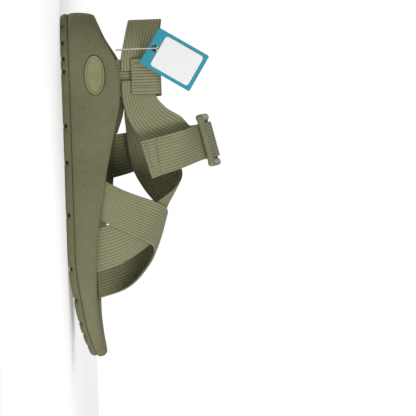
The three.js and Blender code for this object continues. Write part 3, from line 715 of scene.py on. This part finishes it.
def buckle_wrap():
    side = LOOP_RADIUS
    path = [
        [SEAT_GAP, -BAR_LAYER - 0.9], [side - 0.6, -BAR_LAYER],
        [side + 0.1, 0], [side - 0.4, BAR_LAYER - 0.3],
        [0, BAR_LAYER + 0.1], [-side + 0.4, BAR_LAYER - 0.3], [-side - 0.1, 0.6], [-side - 0.5, -1.6],
        [-side - 2, -BAR_LAYER], [-BAR_REACH - 3, -BAR_LAYER],
    ]
    return strip(*(edge_to_buckle([], u, path) for u in (-HALF_WEBBING, HALF_WEBBING)))


TAB_LIFT = 5 * LAYER_PITCH
TAB_HEIGHT = float(form_top(BUCKLE_SHARE)) + 8 - TAB_LENGTH
HEM_FROM = 0.98 - 9 / TAB_LENGTH
HEM_TO = 0.98


def tab_edges():
    def hang(share, height):
        return form_point(share, form_angle(share, height, -1), TAB_LIFT)

    def start(u):
        return [in_buckle(u, -BAR_REACH - 3.4, -BAR_LAYER), in_buckle(u, -BAR_REACH - 7, -BAR_LAYER - 0.5)]

    rear = [*start(-HALF_WEBBING), hang(0.352, TAB_HEIGHT + 32), hang(0.368, TAB_HEIGHT + 15),
            hang(0.382, TAB_HEIGHT - 3)]
    front = [*start(HALF_WEBBING), hang(0.465, TAB_HEIGHT + 25), hang(0.478, TAB_HEIGHT + 14),
             hang(0.49, TAB_HEIGHT + 4)]
    return rear, front


RISER_TOP = STRAP_HIGH + 1.6
RISER_END = 58


def riser_edge(share, side):
    def at(height, lift):
        return form_point(share, form_angle(share, height, side), lift)

    inside = [form_point(share, 180 if side < 0 else 0, 0), at(40, 0), at(50, 0), at(66, 0), at(RISER_TOP, 0)]
    fold = [at(RISER_TOP + 1.6, 0.55 * LAYER_PITCH), at(RISER_TOP + 1.6, 1.45 * LAYER_PITCH)]
    outside = [at(RISER_TOP, 2 * LAYER_PITCH), at(66, 2 * LAYER_PITCH), at(RISER_END, 2 * LAYER_PITCH)]
    return [*inside, *fold, *outside]


def riser(side, steps=STRAP_ROWS, columns=WEB_COLUMNS):
    return strip(*(riser_edge(share, side) for share in RISER), steps, columns)


HEEL_STRAP_BACK = 9
HEEL_STRAP_RISE = 7
HEEL_STRAP_END = RISER_MIDDLE - 0.016


def heel_strap_edge(height):
    ends = []
    for side in (-1, 1):
        shares = (HEEL_STRAP_END, RISER[0])
        ends.append([form_point(s, form_angle(s, height, side), LAYER_PITCH) for s in shares])
    reach = RISER[0] * SOLE_LENGTH - HEEL_STRAP_BACK
    lateral, medial = ends[0][1][1], ends[1][1][1]
    back = []
    for degrees in (20, 45, 70, 90, 110, 135, 160):
        turn = math.radians(degrees)
        y = (lateral + medial) / 2 + (lateral - medial) / 2 * math.cos(turn)
        x = RISER[0] * SOLE_LENGTH - reach * math.sin(turn)
        back.append((x, y, height + HEEL_STRAP_RISE * math.sin(turn)))
    return [*ends[0], *back, *reversed(ends[1])]


def heel_strap():
    return strip(heel_strap_edge(STRAP_LOW), heel_strap_edge(STRAP_HIGH), 130)


def cloth(grid, body, node, **options):
    return place(webbing(f"{node}_webbing", grid, materials["webbing"], **options), body, "webbing", node)


def in_frame(point):
    return tuple((np.asarray(point) + ORIGIN) * MM)


def hinged_cloth(grid, node):
    """Webbing standing for a CAD node, left in the frame without a body."""
    obj = webbing(f"{node}_webbing", grid, materials["webbing"])
    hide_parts(node)
    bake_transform(obj)


def add_straps():
    for node, (medial, lateral) in SOLE_RUNS.items():
        cloth(sole_run(medial, lateral, -SEAT_GAP), "sole", node)
    cloth(forefoot_strap(), "sole", "forefoot_strap")
    cloth(instep_strap(), "sole", "instep_strap")
    cloth(midfoot_strap(), "sole", "midfoot_strap", rounded_ends=True)
    cloth(riser(1), "sole", "medial_riser", rounded_ends=True)
    cloth(riser(-1), "sole", "lateral_riser", rounded_ends=True)
    cloth(buckle_wrap(), "buckle", "buckle_wrap")
    hinged_cloth(quarter_strap(), "quarter_strap")
    hinged_cloth(strip(*tab_edges(), 80), "pull_tab")
    heel = webbing("heel_strap_webbing", heel_strap(), materials["webbing"])
    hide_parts("heel_strap")
    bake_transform(heel)


def on_strip(edges, along, across, lift=0.0):
    """A point on a strip between two edges, with the surface normal there."""
    first, second = (route(edge) for edge in edges)
    step = 0.004

    def middle(t):
        return first(t) * (1 - across) + second(t) * across

    forward = middle(min(along + step, 1)) - middle(max(along - step, 0))
    normal = np.cross(forward, second(along) - first(along))
    normal /= np.linalg.norm(normal)
    return middle(along) + lift * normal, normal


STITCH_SIDES = 6
STITCH_STEPS = 5


def stitches(name, seams, wire, material):
    """Sewn thread: each seam is (from, to, outward) and becomes one small arched stitch."""
    points, faces = [], []
    for begin, end, outward in seams:
        begin, end, outward = (np.asarray(p, float) for p in (begin, end, outward))
        outward = outward / np.linalg.norm(outward)
        side = np.cross(end - begin, outward)
        side /= np.linalg.norm(side)
        base = len(points)
        for i in range(STITCH_STEPS + 1):
            t = i / STITCH_STEPS
            arch = math.sin(math.pi * t)
            radius = wire * (0.45 + 0.55 * arch**0.5)
            centre = begin + (end - begin) * t + outward * wire * (1.3 * arch - 0.6)
            for k in range(STITCH_SIDES):
                turn = 2 * math.pi * k / STITCH_SIDES
                points.append(centre + radius * (math.cos(turn) * side + math.sin(turn) * outward))
        faces += stack_faces(STITCH_STEPS + 1, STITCH_SIDES, base)
    return mesh_object(name, points, faces, material)


TACK_WIDTH = 2.4
TACK_PITCH = 0.55
ZIGZAG_PITCH = 0.9
THREAD = 0.32


def riser_tack(name, side, share):
    """Satin stitches across a riser's end, from below its fold to its raw end."""
    lift = 2 * LAYER_PITCH + WEBBING_THICKNESS / 2 + 0.25
    half = TACK_WIDTH / SOLE_LENGTH / 2
    low, high = RISER_END + 3, STRAP_HIGH
    seams = []
    for height in np.arange(low, high, TACK_PITCH):
        ends = [form_point(s, form_angle(s, height, side), lift) for s in (share - half, share + half)]
        outward = form_point(share, form_angle(share, height, side), lift + 1) - form_point(
            share, form_angle(share, height, side), lift)
        seams.append((*ends, outward))
    place(stitches(f"{name}_thread", seams, THREAD, materials["thread"]), "sole", "thread", name)


def tack_across(edges, along, half_run, lift, turned=1):
    """Satin stitches side by side across a strip, each running along it."""
    seams = []
    width = np.linalg.norm(np.subtract(edges[0][-1], edges[1][-1]))
    count = int(0.84 * width / TACK_PITCH)
    for i in range(count + 1):
        across = 0.08 + 0.84 * i / count
        begin, normal = on_strip(edges, along - half_run, across, lift)
        end, _ = on_strip(edges, along + half_run, across, lift)
        seams.append((begin, end, turned * normal))
    return seams


def zigzag_across(edges, along, half_run, lift):
    """A zigzag seam across a strip on the side that lift points to."""
    width = np.linalg.norm(np.subtract(edges[0][-1], edges[1][-1]))
    count = int(0.88 * width / ZIGZAG_PITCH)
    corners = []
    for i in range(count + 1):
        sign = 1 if i % 2 else -1
        corners.append(on_strip(edges, along + sign * half_run, 0.06 + 0.88 * i / count, lift))
    return [(a, b, math.copysign(1, lift) * normal) for (a, normal), (b, _) in zip(corners, corners[1:])]


def add_hem_and_tacks():
    for word, side in (("medial", 1), ("lateral", -1)):
        riser_tack(f"{word}_front_bar_tack", side, RISER[1] - 0.017)
        riser_tack(f"{word}_rear_bar_tack", side, RISER[0] + 0.017)
    edges = tab_edges()
    rows = []
    middle_lift = -OUTSIDE_WEBBING - WEBBING_THICKNESS / 2
    for along in np.linspace(HEM_FROM, HEM_TO, 17):
        rows.append([on_strip(edges, along, v, middle_lift)[0] for v in np.linspace(0, 1, WEB_COLUMNS + 1)])
    hem = webbing("pull_tab_hem_webbing", np.array(rows), materials["webbing"], rounded_ends=True)
    place(hem, "pull_tab", "webbing", "pull_tab_hem")
    surface = -OUTSIDE_WEBBING - WEBBING_THICKNESS - 0.2
    tack = tack_across(edges, HEM_FROM + 0.04, 0.02, surface, -1)
    place(stitches("pull_tab_tack_thread", tack, THREAD, materials["thread"]), "pull_tab", "thread",
          "pull_tab_stitching")
    face = WEBBING_THICKNESS / 2 + 0.12
    outer_rows = zigzag_across(edges, HEM_TO - 0.03, 0.012, face)
    outer_rows += zigzag_across(edges, HEM_FROM + 0.02, 0.02, face)
    place(stitches("pull_tab_outer_thread", outer_rows, THREAD, materials["thread"]), "pull_tab", "thread")
    fold = midfoot_edges()
    fold_side = 1 if on_strip(fold, 0.97, 0.5)[1][2] > 0 else -1
    rows = zigzag_across(fold, 0.975, 0.008, fold_side * face)
    rows += zigzag_across(fold, 0.93, 0.008, fold_side * face)
    place(stitches("fold_thread", rows, THREAD, materials["thread"]), "sole", "thread")


def midsole_rings():
    def bottom(share):
        return outsole_top(share) + 0.05

    def up_to(part):
        return lambda share, side: bottom(share) + part * (rim(share, side) - bottom(share))

    def ring(inset, height):
        return lambda share, side: (inset, height(share, side))

    def below_rim(drop):
        return lambda share, side: rim(share, side) - drop

    def above_bed(rise):
        return lambda share, side: footbed(share) + rise

    return [
        ring(14, up_to(0)), ring(2.2, up_to(0)), ring(1.3, up_to(0)), ring(0.2, up_to(0.1)),
        ring(0, up_to(0.4)), ring(SIDE_BULGE, up_to(0.8)),
        ring(2.6, below_rim(1.2)), ring(3.4, below_rim(0.2)),
        ring(4.6, below_rim(0)), ring(RIM_WIDTH, below_rim(1)),
        ring(11, above_bed(2.2)), ring(17, above_bed(0.4)), ring(25, above_bed(0)),
    ]


def subdivided(obj, levels):
    modifier = obj.modifiers.new("smooth", "SUBSURF")
    modifier.levels = levels
    modifier.render_levels = levels
    return applied(obj)


BED_EDGE = 12
BED_SPAN = (0.045, 0.955)
BED_END_WIDTH = 0.25
BED_PITCH = 3
BED_RELIEF = 0.6
RIDGE_SLOPE = 1.25
BED_STEPS = (380, 124)
BED_PROBES = (66, 35)
PROBE_HEIGHT = 45
BED_LIFT = 0.1
BED_SINK = 0.4
SIDE_FADE = 14
END_FADE = 60


def diamond_ridges(x, y):
    """Height from 0 to 1 of the footbed's crossed ridges."""
    spacing = BED_PITCH * math.hypot(1, RIDGE_SLOPE)
    slopes = (RIDGE_SLOPE, -RIDGE_SLOPE)
    hollows = [np.abs(np.sin(math.pi * (x + slope * y) / spacing)) for slope in slopes]
    return 1 - np.minimum(*hollows)


def bed_heights(midsole, x, y):
    """Heights of the midsole's top under a grid: probed at some of its points and filled in between."""
    vertices = [v.co for v in midsole.data.vertices]
    tree = BVHTree.FromPolygons(vertices, [p.vertices for p in midsole.data.polygons])
    probe_rows, probe_columns = [
        np.linspace(0, steps, probes).astype(int) for steps, probes in zip(BED_STEPS, BED_PROBES)
    ]
    probed = np.empty(BED_PROBES)
    for i, row in enumerate(probe_rows):
        for j, column in enumerate(probe_columns):
            start = Vector(in_frame((x[row, column], y[row, column], PROBE_HEIGHT)))
            hit = tree.ray_cast(start, Vector((0, 0, -1)))[0]
            probed[i, j] = hit.z / MM
    rows, columns = BED_STEPS
    filled = np.array([np.interp(np.arange(columns + 1), probe_columns, line) for line in probed])
    return np.array([np.interp(np.arange(rows + 1), probe_rows, line) for line in filled.T]).T


def add_footbed(midsole):
    """The textured top of the footbed, laid on the moulded midsole inside its cup."""
    low, high = BED_SPAN
    rows, columns = BED_STEPS
    share = np.linspace(low, high, rows + 1)[:, None]
    across = np.linspace(-1, 1, columns + 1)[None, :]
    ends = np.clip(1 - ((2 * share - low - high) / (high - low)) ** 8, 0, 1) ** 0.5
    half = full_half_width(share) * end_rounding(share) - BED_EDGE
    half = half * (BED_END_WIDTH + (1 - BED_END_WIDTH) * ends)
    x = np.broadcast_to(share * SOLE_LENGTH, (rows + 1, columns + 1))
    y = centre_line(share) + across * half
    surface = bed_heights(midsole, x, y)
    fade = np.clip((1 - np.abs(across)) * SIDE_FADE, 0, 1) * np.clip((share - low) * END_FADE, 0, 1)
    fade = fade * np.clip((high - share) * END_FADE, 0, 1)
    top = surface + BED_LIFT + BED_RELIEF * diamond_ridges(x, y) * fade
    layers = [np.stack([x, y, height], -1).reshape(-1, 3) for height in (surface - BED_SINK, top)]
    faces = sheet_faces(rows, columns)
    bed = mesh_object("footbed_tread", np.concatenate(layers), faces, materials["footbed"])
    place(bed, "sole", "midsole_foam")


def add_midsole():
    footbed_from = 10
    body = ring_mesh(
        "midsole_foam", midsole_rings(), materials["foam"], 80, materials["footbed"], footbed_from)
    subdivided(body, 1)
    clearance = CHANNEL_CLEARANCE
    cutters = [cutter_strip(sole_run(m, l, 2, 60, 2), clearance) for m, l in SOLE_RUNS.values()]
    cutters += [cutter_strip(grid, clearance) for grid in (
        forefoot_strap(60, 6), instep_strap(60, 6), midfoot_strap(70, 4), riser(1, 40, 2), riser(-1, 40, 2))]
    cutters.append(oval_badge("cutter", 2 * SEAT_GAP, plain=True))
    cut(body, cutters)
    body.data.set_sharp_from_angle(angle=math.radians(40))
    place(body, "sole", "midsole_foam", "midsole")
    add_footbed(body)


MEDALLION_LENGTH = 33
MEDALLION_HEIGHT = 17
MEDALLION_DEPTH = 3
MEDALLION_PLACE = (0.19, 28)


def oval_badge(name, growth, plain=False):
    """The oval heel badge: a domed field inside a raised rim, or a plain oval to cut its seat."""
    face_y = plan_point(MEDALLION_PLACE[0], -1, -0.7, 0)
    half_x, half_z = MEDALLION_LENGTH / 2 + growth, MEDALLION_HEIGHT / 2 + growth
    outline = [(1.0, MEDALLION_DEPTH), (1.0, 0.6), (0.975, 0.2), (0.95, 0.02), (0.9, 0.0), (0.865, 0.12),
               (0.845, 0.6), (0.82, 0.95), (0.77, 1.0), (0.745, 0.95), (0.73, 0.65), (0.7, 0.55),
               (0.67, 0.65), (0.65, 0.95), (0.6, 1.0), (0.4, 0.75), (0.15, 0.65)]
    if plain:
        outline = [(1.0, MEDALLION_DEPTH + growth), (1.0, -4.0)]
    count = 72
    points = []
    for scale, depth in outline:
        for k in range(count):
            turn = 2 * math.pi * k / count
            inward = (1 - scale) * half_z
            points.append((face_y[0] + (half_x - inward) * math.cos(turn), face_y[1] + depth,
                           MEDALLION_PLACE[1] + (half_z - inward) * math.sin(turn)))
    return mesh_object(name, points, stack_faces(len(outline), count), materials["badge"])


def add_badge():
    badge = oval_badge("heel_badge", 0)
    place(badge, "sole", "badge", "heel_medallion")


LATERAL_GROOVES = (0.033, 0.088, 0.138, 0.175, 0.33, 0.434, 0.586, 0.739, 0.835, 0.908, 0.946, 0.982)
MEDIAL_GROOVES = tuple(0.055 + i * 0.89 / 13 for i in range(14))
LUG_ROUNDING = 7


def lug_hollow(share, side):
    """How far the tread's edge falls away: 1 at a side groove, 0 along the lug between two grooves."""
    hollow = np.zeros(len(share))
    for lugs_side, grooves in ((-1, LATERAL_GROOVES), (1, MEDIAL_GROOVES)):
        distance = np.abs(share[:, None] - np.array(grooves)).min(1) * SOLE_LENGTH - GROOVE_WIDTH / 2
        fall = (1 - np.clip(distance / LUG_ROUNDING, 0, 1)) ** 2.5
        hollow = np.where(side == lugs_side, fall, hollow)
    return hollow


def outsole_rings():
    def ring(inset, rise, give=0.0):
        def at(share, side):
            hollow = give * lug_hollow(share, side)
            return inset + 1.5 * hollow, ground_line(share) + rise + 1.2 * hollow
        return at

    return [
        ring(14, 0), ring(SIDE_BULGE + 3.4, 0), ring(SIDE_BULGE + 2, 0.2, 1), ring(SIDE_BULGE + 0.8, 1.1, 1),
        ring(SIDE_BULGE - 0.1, 2.6, 0.7), ring(SIDE_BULGE - 0.4, 4, 0.3),
        ring(SIDE_BULGE, OUTSOLE_THICKNESS - 1), ring(SIDE_BULGE, OUTSOLE_THICKNESS),
        ring(14, OUTSOLE_THICKNESS),
    ]


def block(centre, size, turn):
    """A plain box turned about the upright, in the sandal's millimetres."""
    corners = []
    rotation = Matrix.Rotation(turn, 3, "Z")
    for x in (-0.5, 0.5):
        for y in (-0.5, 0.5):
            for z in (-0.5, 0.5):
                corners.append(np.array(rotation @ Vector((x * size[0], y * size[1], z * size[2]))) + centre)
    faces = [(0, 1, 3, 2), (4, 6, 7, 5), (0, 4, 5, 1), (2, 3, 7, 6), (0, 2, 6, 4), (1, 5, 7, 3)]
    return mesh_object("cutter", corners, faces, materials["rubber"], flat=True)


def tread_grooves(side, shares):
    """Side grooves of the tread, square to the sole's edge."""
    overhang = 6
    nearby = 0.01
    grooves = []
    for share in shares:
        edge = plan_point(share, side, 0, float(ground_line(share)))
        along = plan_point(share + nearby, side, 0, 0) - plan_point(share - nearby, side, 0, 0)
        inward = side * np.array([along[1], -along[0], 0]) / np.hypot(along[0], along[1])
        centre = edge + inward * (GROOVE_REACH - overhang) / 2
        size = (GROOVE_WIDTH, GROOVE_REACH + overhang, 2 * TREAD_DEPTH)
        grooves.append(block(centre, size, math.atan2(along[1], along[0])))
    return grooves


CENTRE_GROOVE_DEPTH = 1.6


def centre_grooves():
    """Slanted grooves down the middle of the tread, between the side grooves."""
    grooves = []
    for i in range(17):
        share = 0.1 + i * 0.8 / 16
        lean = math.radians(32 if i % 2 else -32)
        centre = np.array([share * SOLE_LENGTH, float(centre_line(share)), float(ground_line(share))])
        reach = 2 * (float(full_half_width(share)) * float(end_rounding(share)) - GROOVE_REACH) - 6
        if reach > 8:
            grooves.append(block(centre, (2.6, reach, 2 * CENTRE_GROOVE_DEPTH), lean))
    return grooves


def remeshed(obj, voxel, passes):
    """Turns an object into an even mesh with softened edges."""
    remesh = obj.modifiers.new("even", "REMESH")
    remesh.mode = "VOXEL"
    remesh.voxel_size = voxel * MM
    remesh.use_smooth_shade = True
    soften = obj.modifiers.new("soften", "SMOOTH")
    soften.factor = 0.5
    soften.iterations = passes
    return applied(obj)


def add_outsole():
    body = ring_mesh("outsole_rubber", outsole_rings(), materials["rubber"], steps=200)
    cut(body, tread_grooves(-1, LATERAL_GROOVES) + tread_grooves(1, MEDIAL_GROOVES) + centre_grooves())
    remeshed(body, 0.7, 6)
    place(body, "sole", "outsole_rubber", "outsole")


def rounded_bar(begin, end, width, height, squareness=3.0, steps=24, cap=1.0):
    """A bar between two points of the buckle's frame with a rounded section and rounded ends."""
    begin, end = np.array(begin, float), np.array(end, float)
    along = (end - begin) / np.linalg.norm(end - begin)
    up = np.array([0, 0, 1.0])
    side = np.cross(up, along)
    length = np.linalg.norm(end - begin)
    points = []
    reach = min(width, height) / 2 * cap
    places = []
    for k in range(7):
        turn = math.pi / 2 * k / 6
        places.append((reach * (1 - math.cos(turn)), max(math.sin(turn), 0.05)))
    stations = places + [(length - d, s) for d, s in reversed(places)]
    for distance, scale in stations:
        for k in range(steps):
            turn = 2 * math.pi * k / steps
            c, s = math.cos(turn), math.sin(turn)
            size = (abs(c) ** squareness + abs(s) ** squareness) ** (-1 / squareness)
            out_w = max(width / 2 - reach * (1 - scale), 0.05)
            out_h = max(height / 2 - reach * (1 - scale), 0.05)
            points.append(begin + along * distance + side * out_w * size * c + up * out_h * size * s)
    return [in_buckle(*p) for p in points], stack_faces(len(stations), steps)


def add_buckle():
    half = BUCKLE_LENGTH / 2
    rail = half - RAIL_WIDTH / 2
    outer = BAR_REACH + BAR_WIDTH / 2
    lip = BUCKLE_THICKNESS + 1.4
    bars = [
        rounded_bar((-half, -BAR_REACH, 0.7), (half, -BAR_REACH, 0.7), BAR_WIDTH + 1, lip, 2.4),
        rounded_bar((-rail, 0, 0), (rail, 0, 0), BAR_WIDTH, BUCKLE_THICKNESS, 3.5),
        rounded_bar((-half + 3, BAR_REACH, 0), (half - 3, BAR_REACH, 0), BAR_WIDTH, BAR_WIDTH, 2.0),
    ]
    for u in (-rail, rail):
        ends = (u, -outer - 0.6, 0.6), (u, outer, 0.6)
        bars.append(rounded_bar(*ends, RAIL_WIDTH, BUCKLE_THICKNESS + 2.2, 2.6))
        inner = u - math.copysign(RAIL_WIDTH / 2 + 0.4, u)
        bars.append(rounded_bar((inner, -outer + 1, 0.4), (inner, 3, 0.4), 1.4, BUCKLE_THICKNESS - 1, 2.4))
    points, faces = [], []
    for bar_points, bar_faces in bars:
        offset = len(points)
        points += bar_points
        faces += [tuple(i + offset for i in face) for face in bar_faces]
    buckle = mesh_object("ladder_buckle", points, faces, materials["buckle"])
    remeshed(buckle, 0.3, 4)
    place(buckle, "buckle", "buckle_plastic", "buckle")


TAG_SHARE = 0.118
TAG_LEAN = math.radians(58)
TAG_HOLE_TURN = 0.24 * math.pi
TAG_LOOP_REACH = 9
TAG_LOOP_HEIGHT = WEBBING_WIDTH / 2 + 4
TAG_LOOP_WIRE = 0.5
TAG_LENGTH = 48
TAG_WIDTH = 34
TAG_THICKNESS = 0.7
TAG_HOLE_INSET = 5
LABEL_LENGTH = 36
LABEL_WIDTH = 28
LABEL_PLACE = 21.5
LABEL_THICKNESS = 0.2


def tag_centre():
    lateral = form_point(RISER[0], 180, 0)[1]
    return np.array([TAG_SHARE * SOLE_LENGTH, lateral - 2.1, (STRAP_LOW + STRAP_HIGH) / 2 + 2])


def tag_place(along, across, depth):
    """A point of the hanging card: along it from the hole, across it, and through it towards the heel."""
    centre = tag_centre()
    reach = TAG_LOOP_REACH * math.cos(TAG_HOLE_TURN)
    hole = centre + np.array([0, -reach, TAG_LOOP_HEIGHT * math.sin(TAG_HOLE_TURN)])
    x = along * math.cos(TAG_LEAN) - across * math.sin(TAG_LEAN)
    z = along * math.sin(TAG_LEAN) + across * math.cos(TAG_LEAN)
    return hole + np.array([x, depth, z])


def round_rectangle(low_x, high_x, half, radius, corner_steps=6):
    outline = []
    corners = ((high_x - radius, half - radius, 0), (low_x + radius, half - radius, 90),
               (low_x + radius, -half + radius, 180), (high_x - radius, -half + radius, 270))
    for x, y, start in corners:
        for i in range(corner_steps + 1):
            turn = math.radians(start + 90 * i / corner_steps)
            outline.append((x + radius * math.cos(turn), y + radius * math.sin(turn)))
    return outline


HOLE_STEPS = 32
HOLE_REACH = 3


def hole_cutter(radius, material):
    """A round rod through the tag's plate at its hole."""
    points = []
    for depth in (-HOLE_REACH, HOLE_REACH):
        for k in range(HOLE_STEPS):
            turn = 2 * math.pi * k / HOLE_STEPS
            points.append(tag_place(radius * math.cos(turn), radius * math.sin(turn), depth))
    return mesh_object("cutter", points, stack_faces(2, HOLE_STEPS), material)


def slab(name, outline, layers, material, hole=None):
    """A thin plate: layers are (inset, depth) of its outline; hole is a circle's radius about the start."""
    count = len(outline)
    centre = np.mean(outline, axis=0)
    points = []
    for inset, depth in layers:
        for x, y in outline:
            away = np.array([x, y]) - centre
            shrink = 1 - inset / np.linalg.norm(away)
            spot = centre + away * shrink
            points.append(tag_place(spot[0], spot[1], depth))
    plate = mesh_object(name, points, stack_faces(len(layers), count), material, flat=True)
    if hole:
        cut(plate, [hole_cutter(hole, material)])
    return plate


def add_tag():
    half = TAG_THICKNESS / 2
    card_outline = round_rectangle(-TAG_HOLE_INSET, TAG_LENGTH - TAG_HOLE_INSET, TAG_WIDTH / 2, 1.2)
    edge = [(0.15, -half), (0, -half + 0.15), (0, half - 0.15), (0.15, half)]
    card = slab("hang_tag_card", card_outline, edge, materials["card"], hole=3)
    place(card, "tag", "tag_card", "tag_card")
    front = -half - SEAT_GAP
    label_low, label_high = LABEL_PLACE - LABEL_LENGTH / 2, LABEL_PLACE + LABEL_LENGTH / 2
    label_outline = round_rectangle(label_low, label_high, LABEL_WIDTH / 2, 2.5)
    layers = [(0, front + 0.2), (0, front - LABEL_THICKNESS + 0.05), (0.1, front - LABEL_THICKNESS)]
    label = slab("hang_tag_label", label_outline, layers, materials["label"])
    place(label, "tag", "tag_white", "tag_label")
    loop = tag_loop()
    place(loop, "heel_strap", "tag_plastic", "tag_loop")


def tag_loop():
    """The plastic loop round the heel strap, with the small swollen lock where its ends join."""
    centre = tag_centre()
    around, section = 96, 10
    points, faces = [], []
    for i in range(around):
        turn = 2 * math.pi * i / around
        swell = 1 + 0.5 * math.exp(-(((i - 0.75 * around) / 2.5) ** 2))
        for k in range(section):
            spin = 2 * math.pi * k / section
            wire = TAG_LOOP_WIRE * swell
            y = (TAG_LOOP_REACH + wire * math.cos(spin)) * math.cos(turn)
            z = (TAG_LOOP_HEIGHT + wire * math.cos(spin)) * math.sin(turn)
            points.append(centre + np.array([wire * math.sin(spin), y, z]))
    for i in range(around):
        for k in range(section):
            j, n = (k + 1) % section, (i + 1) % around
            faces.append((i * section + k, i * section + j, n * section + j, n * section + k))
    return mesh_object("hang_tag_loop", points, faces, materials["clear"])


def add_camera():
    """Looks at the lateral side with the toe towards the bottom of the picture."""
    aim = Vector((0.0235, 0, 0.1185))
    distance = 3.0
    field = 0.352
    camera = bpy.data.cameras.new("camera")
    camera.sensor_width = 36
    camera.lens = camera.sensor_width * distance / field
    obj = bpy.data.objects.new("camera", camera)
    bpy.context.scene.collection.objects.link(obj)
    obj.location = (aim.x, aim.y - distance, aim.z)
    roll = math.radians(90 - 2.2)
    obj.matrix_world = (Matrix.Translation(obj.location) @ Matrix.Rotation(math.radians(90), 4, "X")
                        @ Matrix.Rotation(roll, 4, "Z"))
    camera.clip_start = 0.01
    camera.clip_end = 20
    bpy.context.scene.camera = obj


def area_light(name, place_at, aim, size, power):
    light = bpy.data.lights.new(name, "AREA")
    light.shape = "DISK"
    light.size = size
    light.energy = power
    obj = bpy.data.objects.new(name, light)
    bpy.context.scene.collection.objects.link(obj)
    obj.location = place_at
    obj.rotation_euler = (Vector(aim) - Vector(place_at)).to_track_quat("-Z", "Y").to_euler()


def add_studio():
    bpy.context.scene.view_settings.view_transform = "Standard"
    area_light("key", (0.62, -0.8, 0.42), (0, 0, 0.06), 0.5, 7)
    area_light("fill", (-0.5, -1.0, 0.8), (0, 0, 0.06), 0.8, 2.6)
    area_light("back", (-0.35, 1.0, 0.8), (0, 0, 0.06), 0.9, 6)
    world = bpy.data.worlds.new("studio")
    bpy.context.scene.world = world
    world.use_nodes = True
    tree = world.node_tree
    shown = tree.nodes["Background"]
    shown.inputs["Color"].default_value = (1, 1, 1, 1)
    shown.inputs["Strength"].default_value = 1.0
    ambient = tree.nodes.new("ShaderNodeBackground")
    ambient.inputs["Color"].default_value = (1, 1, 1, 1)
    ambient.inputs["Strength"].default_value = 0.2
    rays = tree.nodes.new("ShaderNodeLightPath")
    mix = tree.nodes.new("ShaderNodeMixShader")
    tree.links.new(rays.outputs["Is Camera Ray"], mix.inputs["Fac"])
    tree.links.new(ambient.outputs[0], mix.inputs[1])
    tree.links.new(shown.outputs[0], mix.inputs[2])
    tree.links.new(mix.outputs[0], tree.nodes["World Output"].inputs["Surface"])


def add_floor():
    n = Nodes("studio_floor", (0.9, 0.9, 0.9), 0.9)
    soft = n.noise(6, 2.0)
    n.link(n.ramp(soft, [(0.3, (0.89,) * 3), (0.7, (0.92,) * 3)]), n.shader.inputs["Base Color"])
    n.shader.inputs["Emission Color"].default_value = (1, 1, 1, 1)
    n.shader.inputs["Emission Strength"].default_value = 0.3
    mesh = bpy.data.meshes.new("floor")
    reach, behind = 1.6, 0.6
    corners = [(-reach, -reach, 0), (reach, -reach, 0), (reach, behind, 0), (-reach, behind, 0)]
    mesh.from_pydata(corners, [], [(0, 1, 2, 3)])
    floor = bpy.data.objects.new("floor", mesh)
    bpy.context.scene.collection.objects.link(floor)
    mesh.materials.append(n.material)


add_midsole()
add_outsole()
add_badge()
add_straps()
add_hem_and_tacks()
add_buckle()
add_tag()
add_camera()
add_studio()
add_floor()
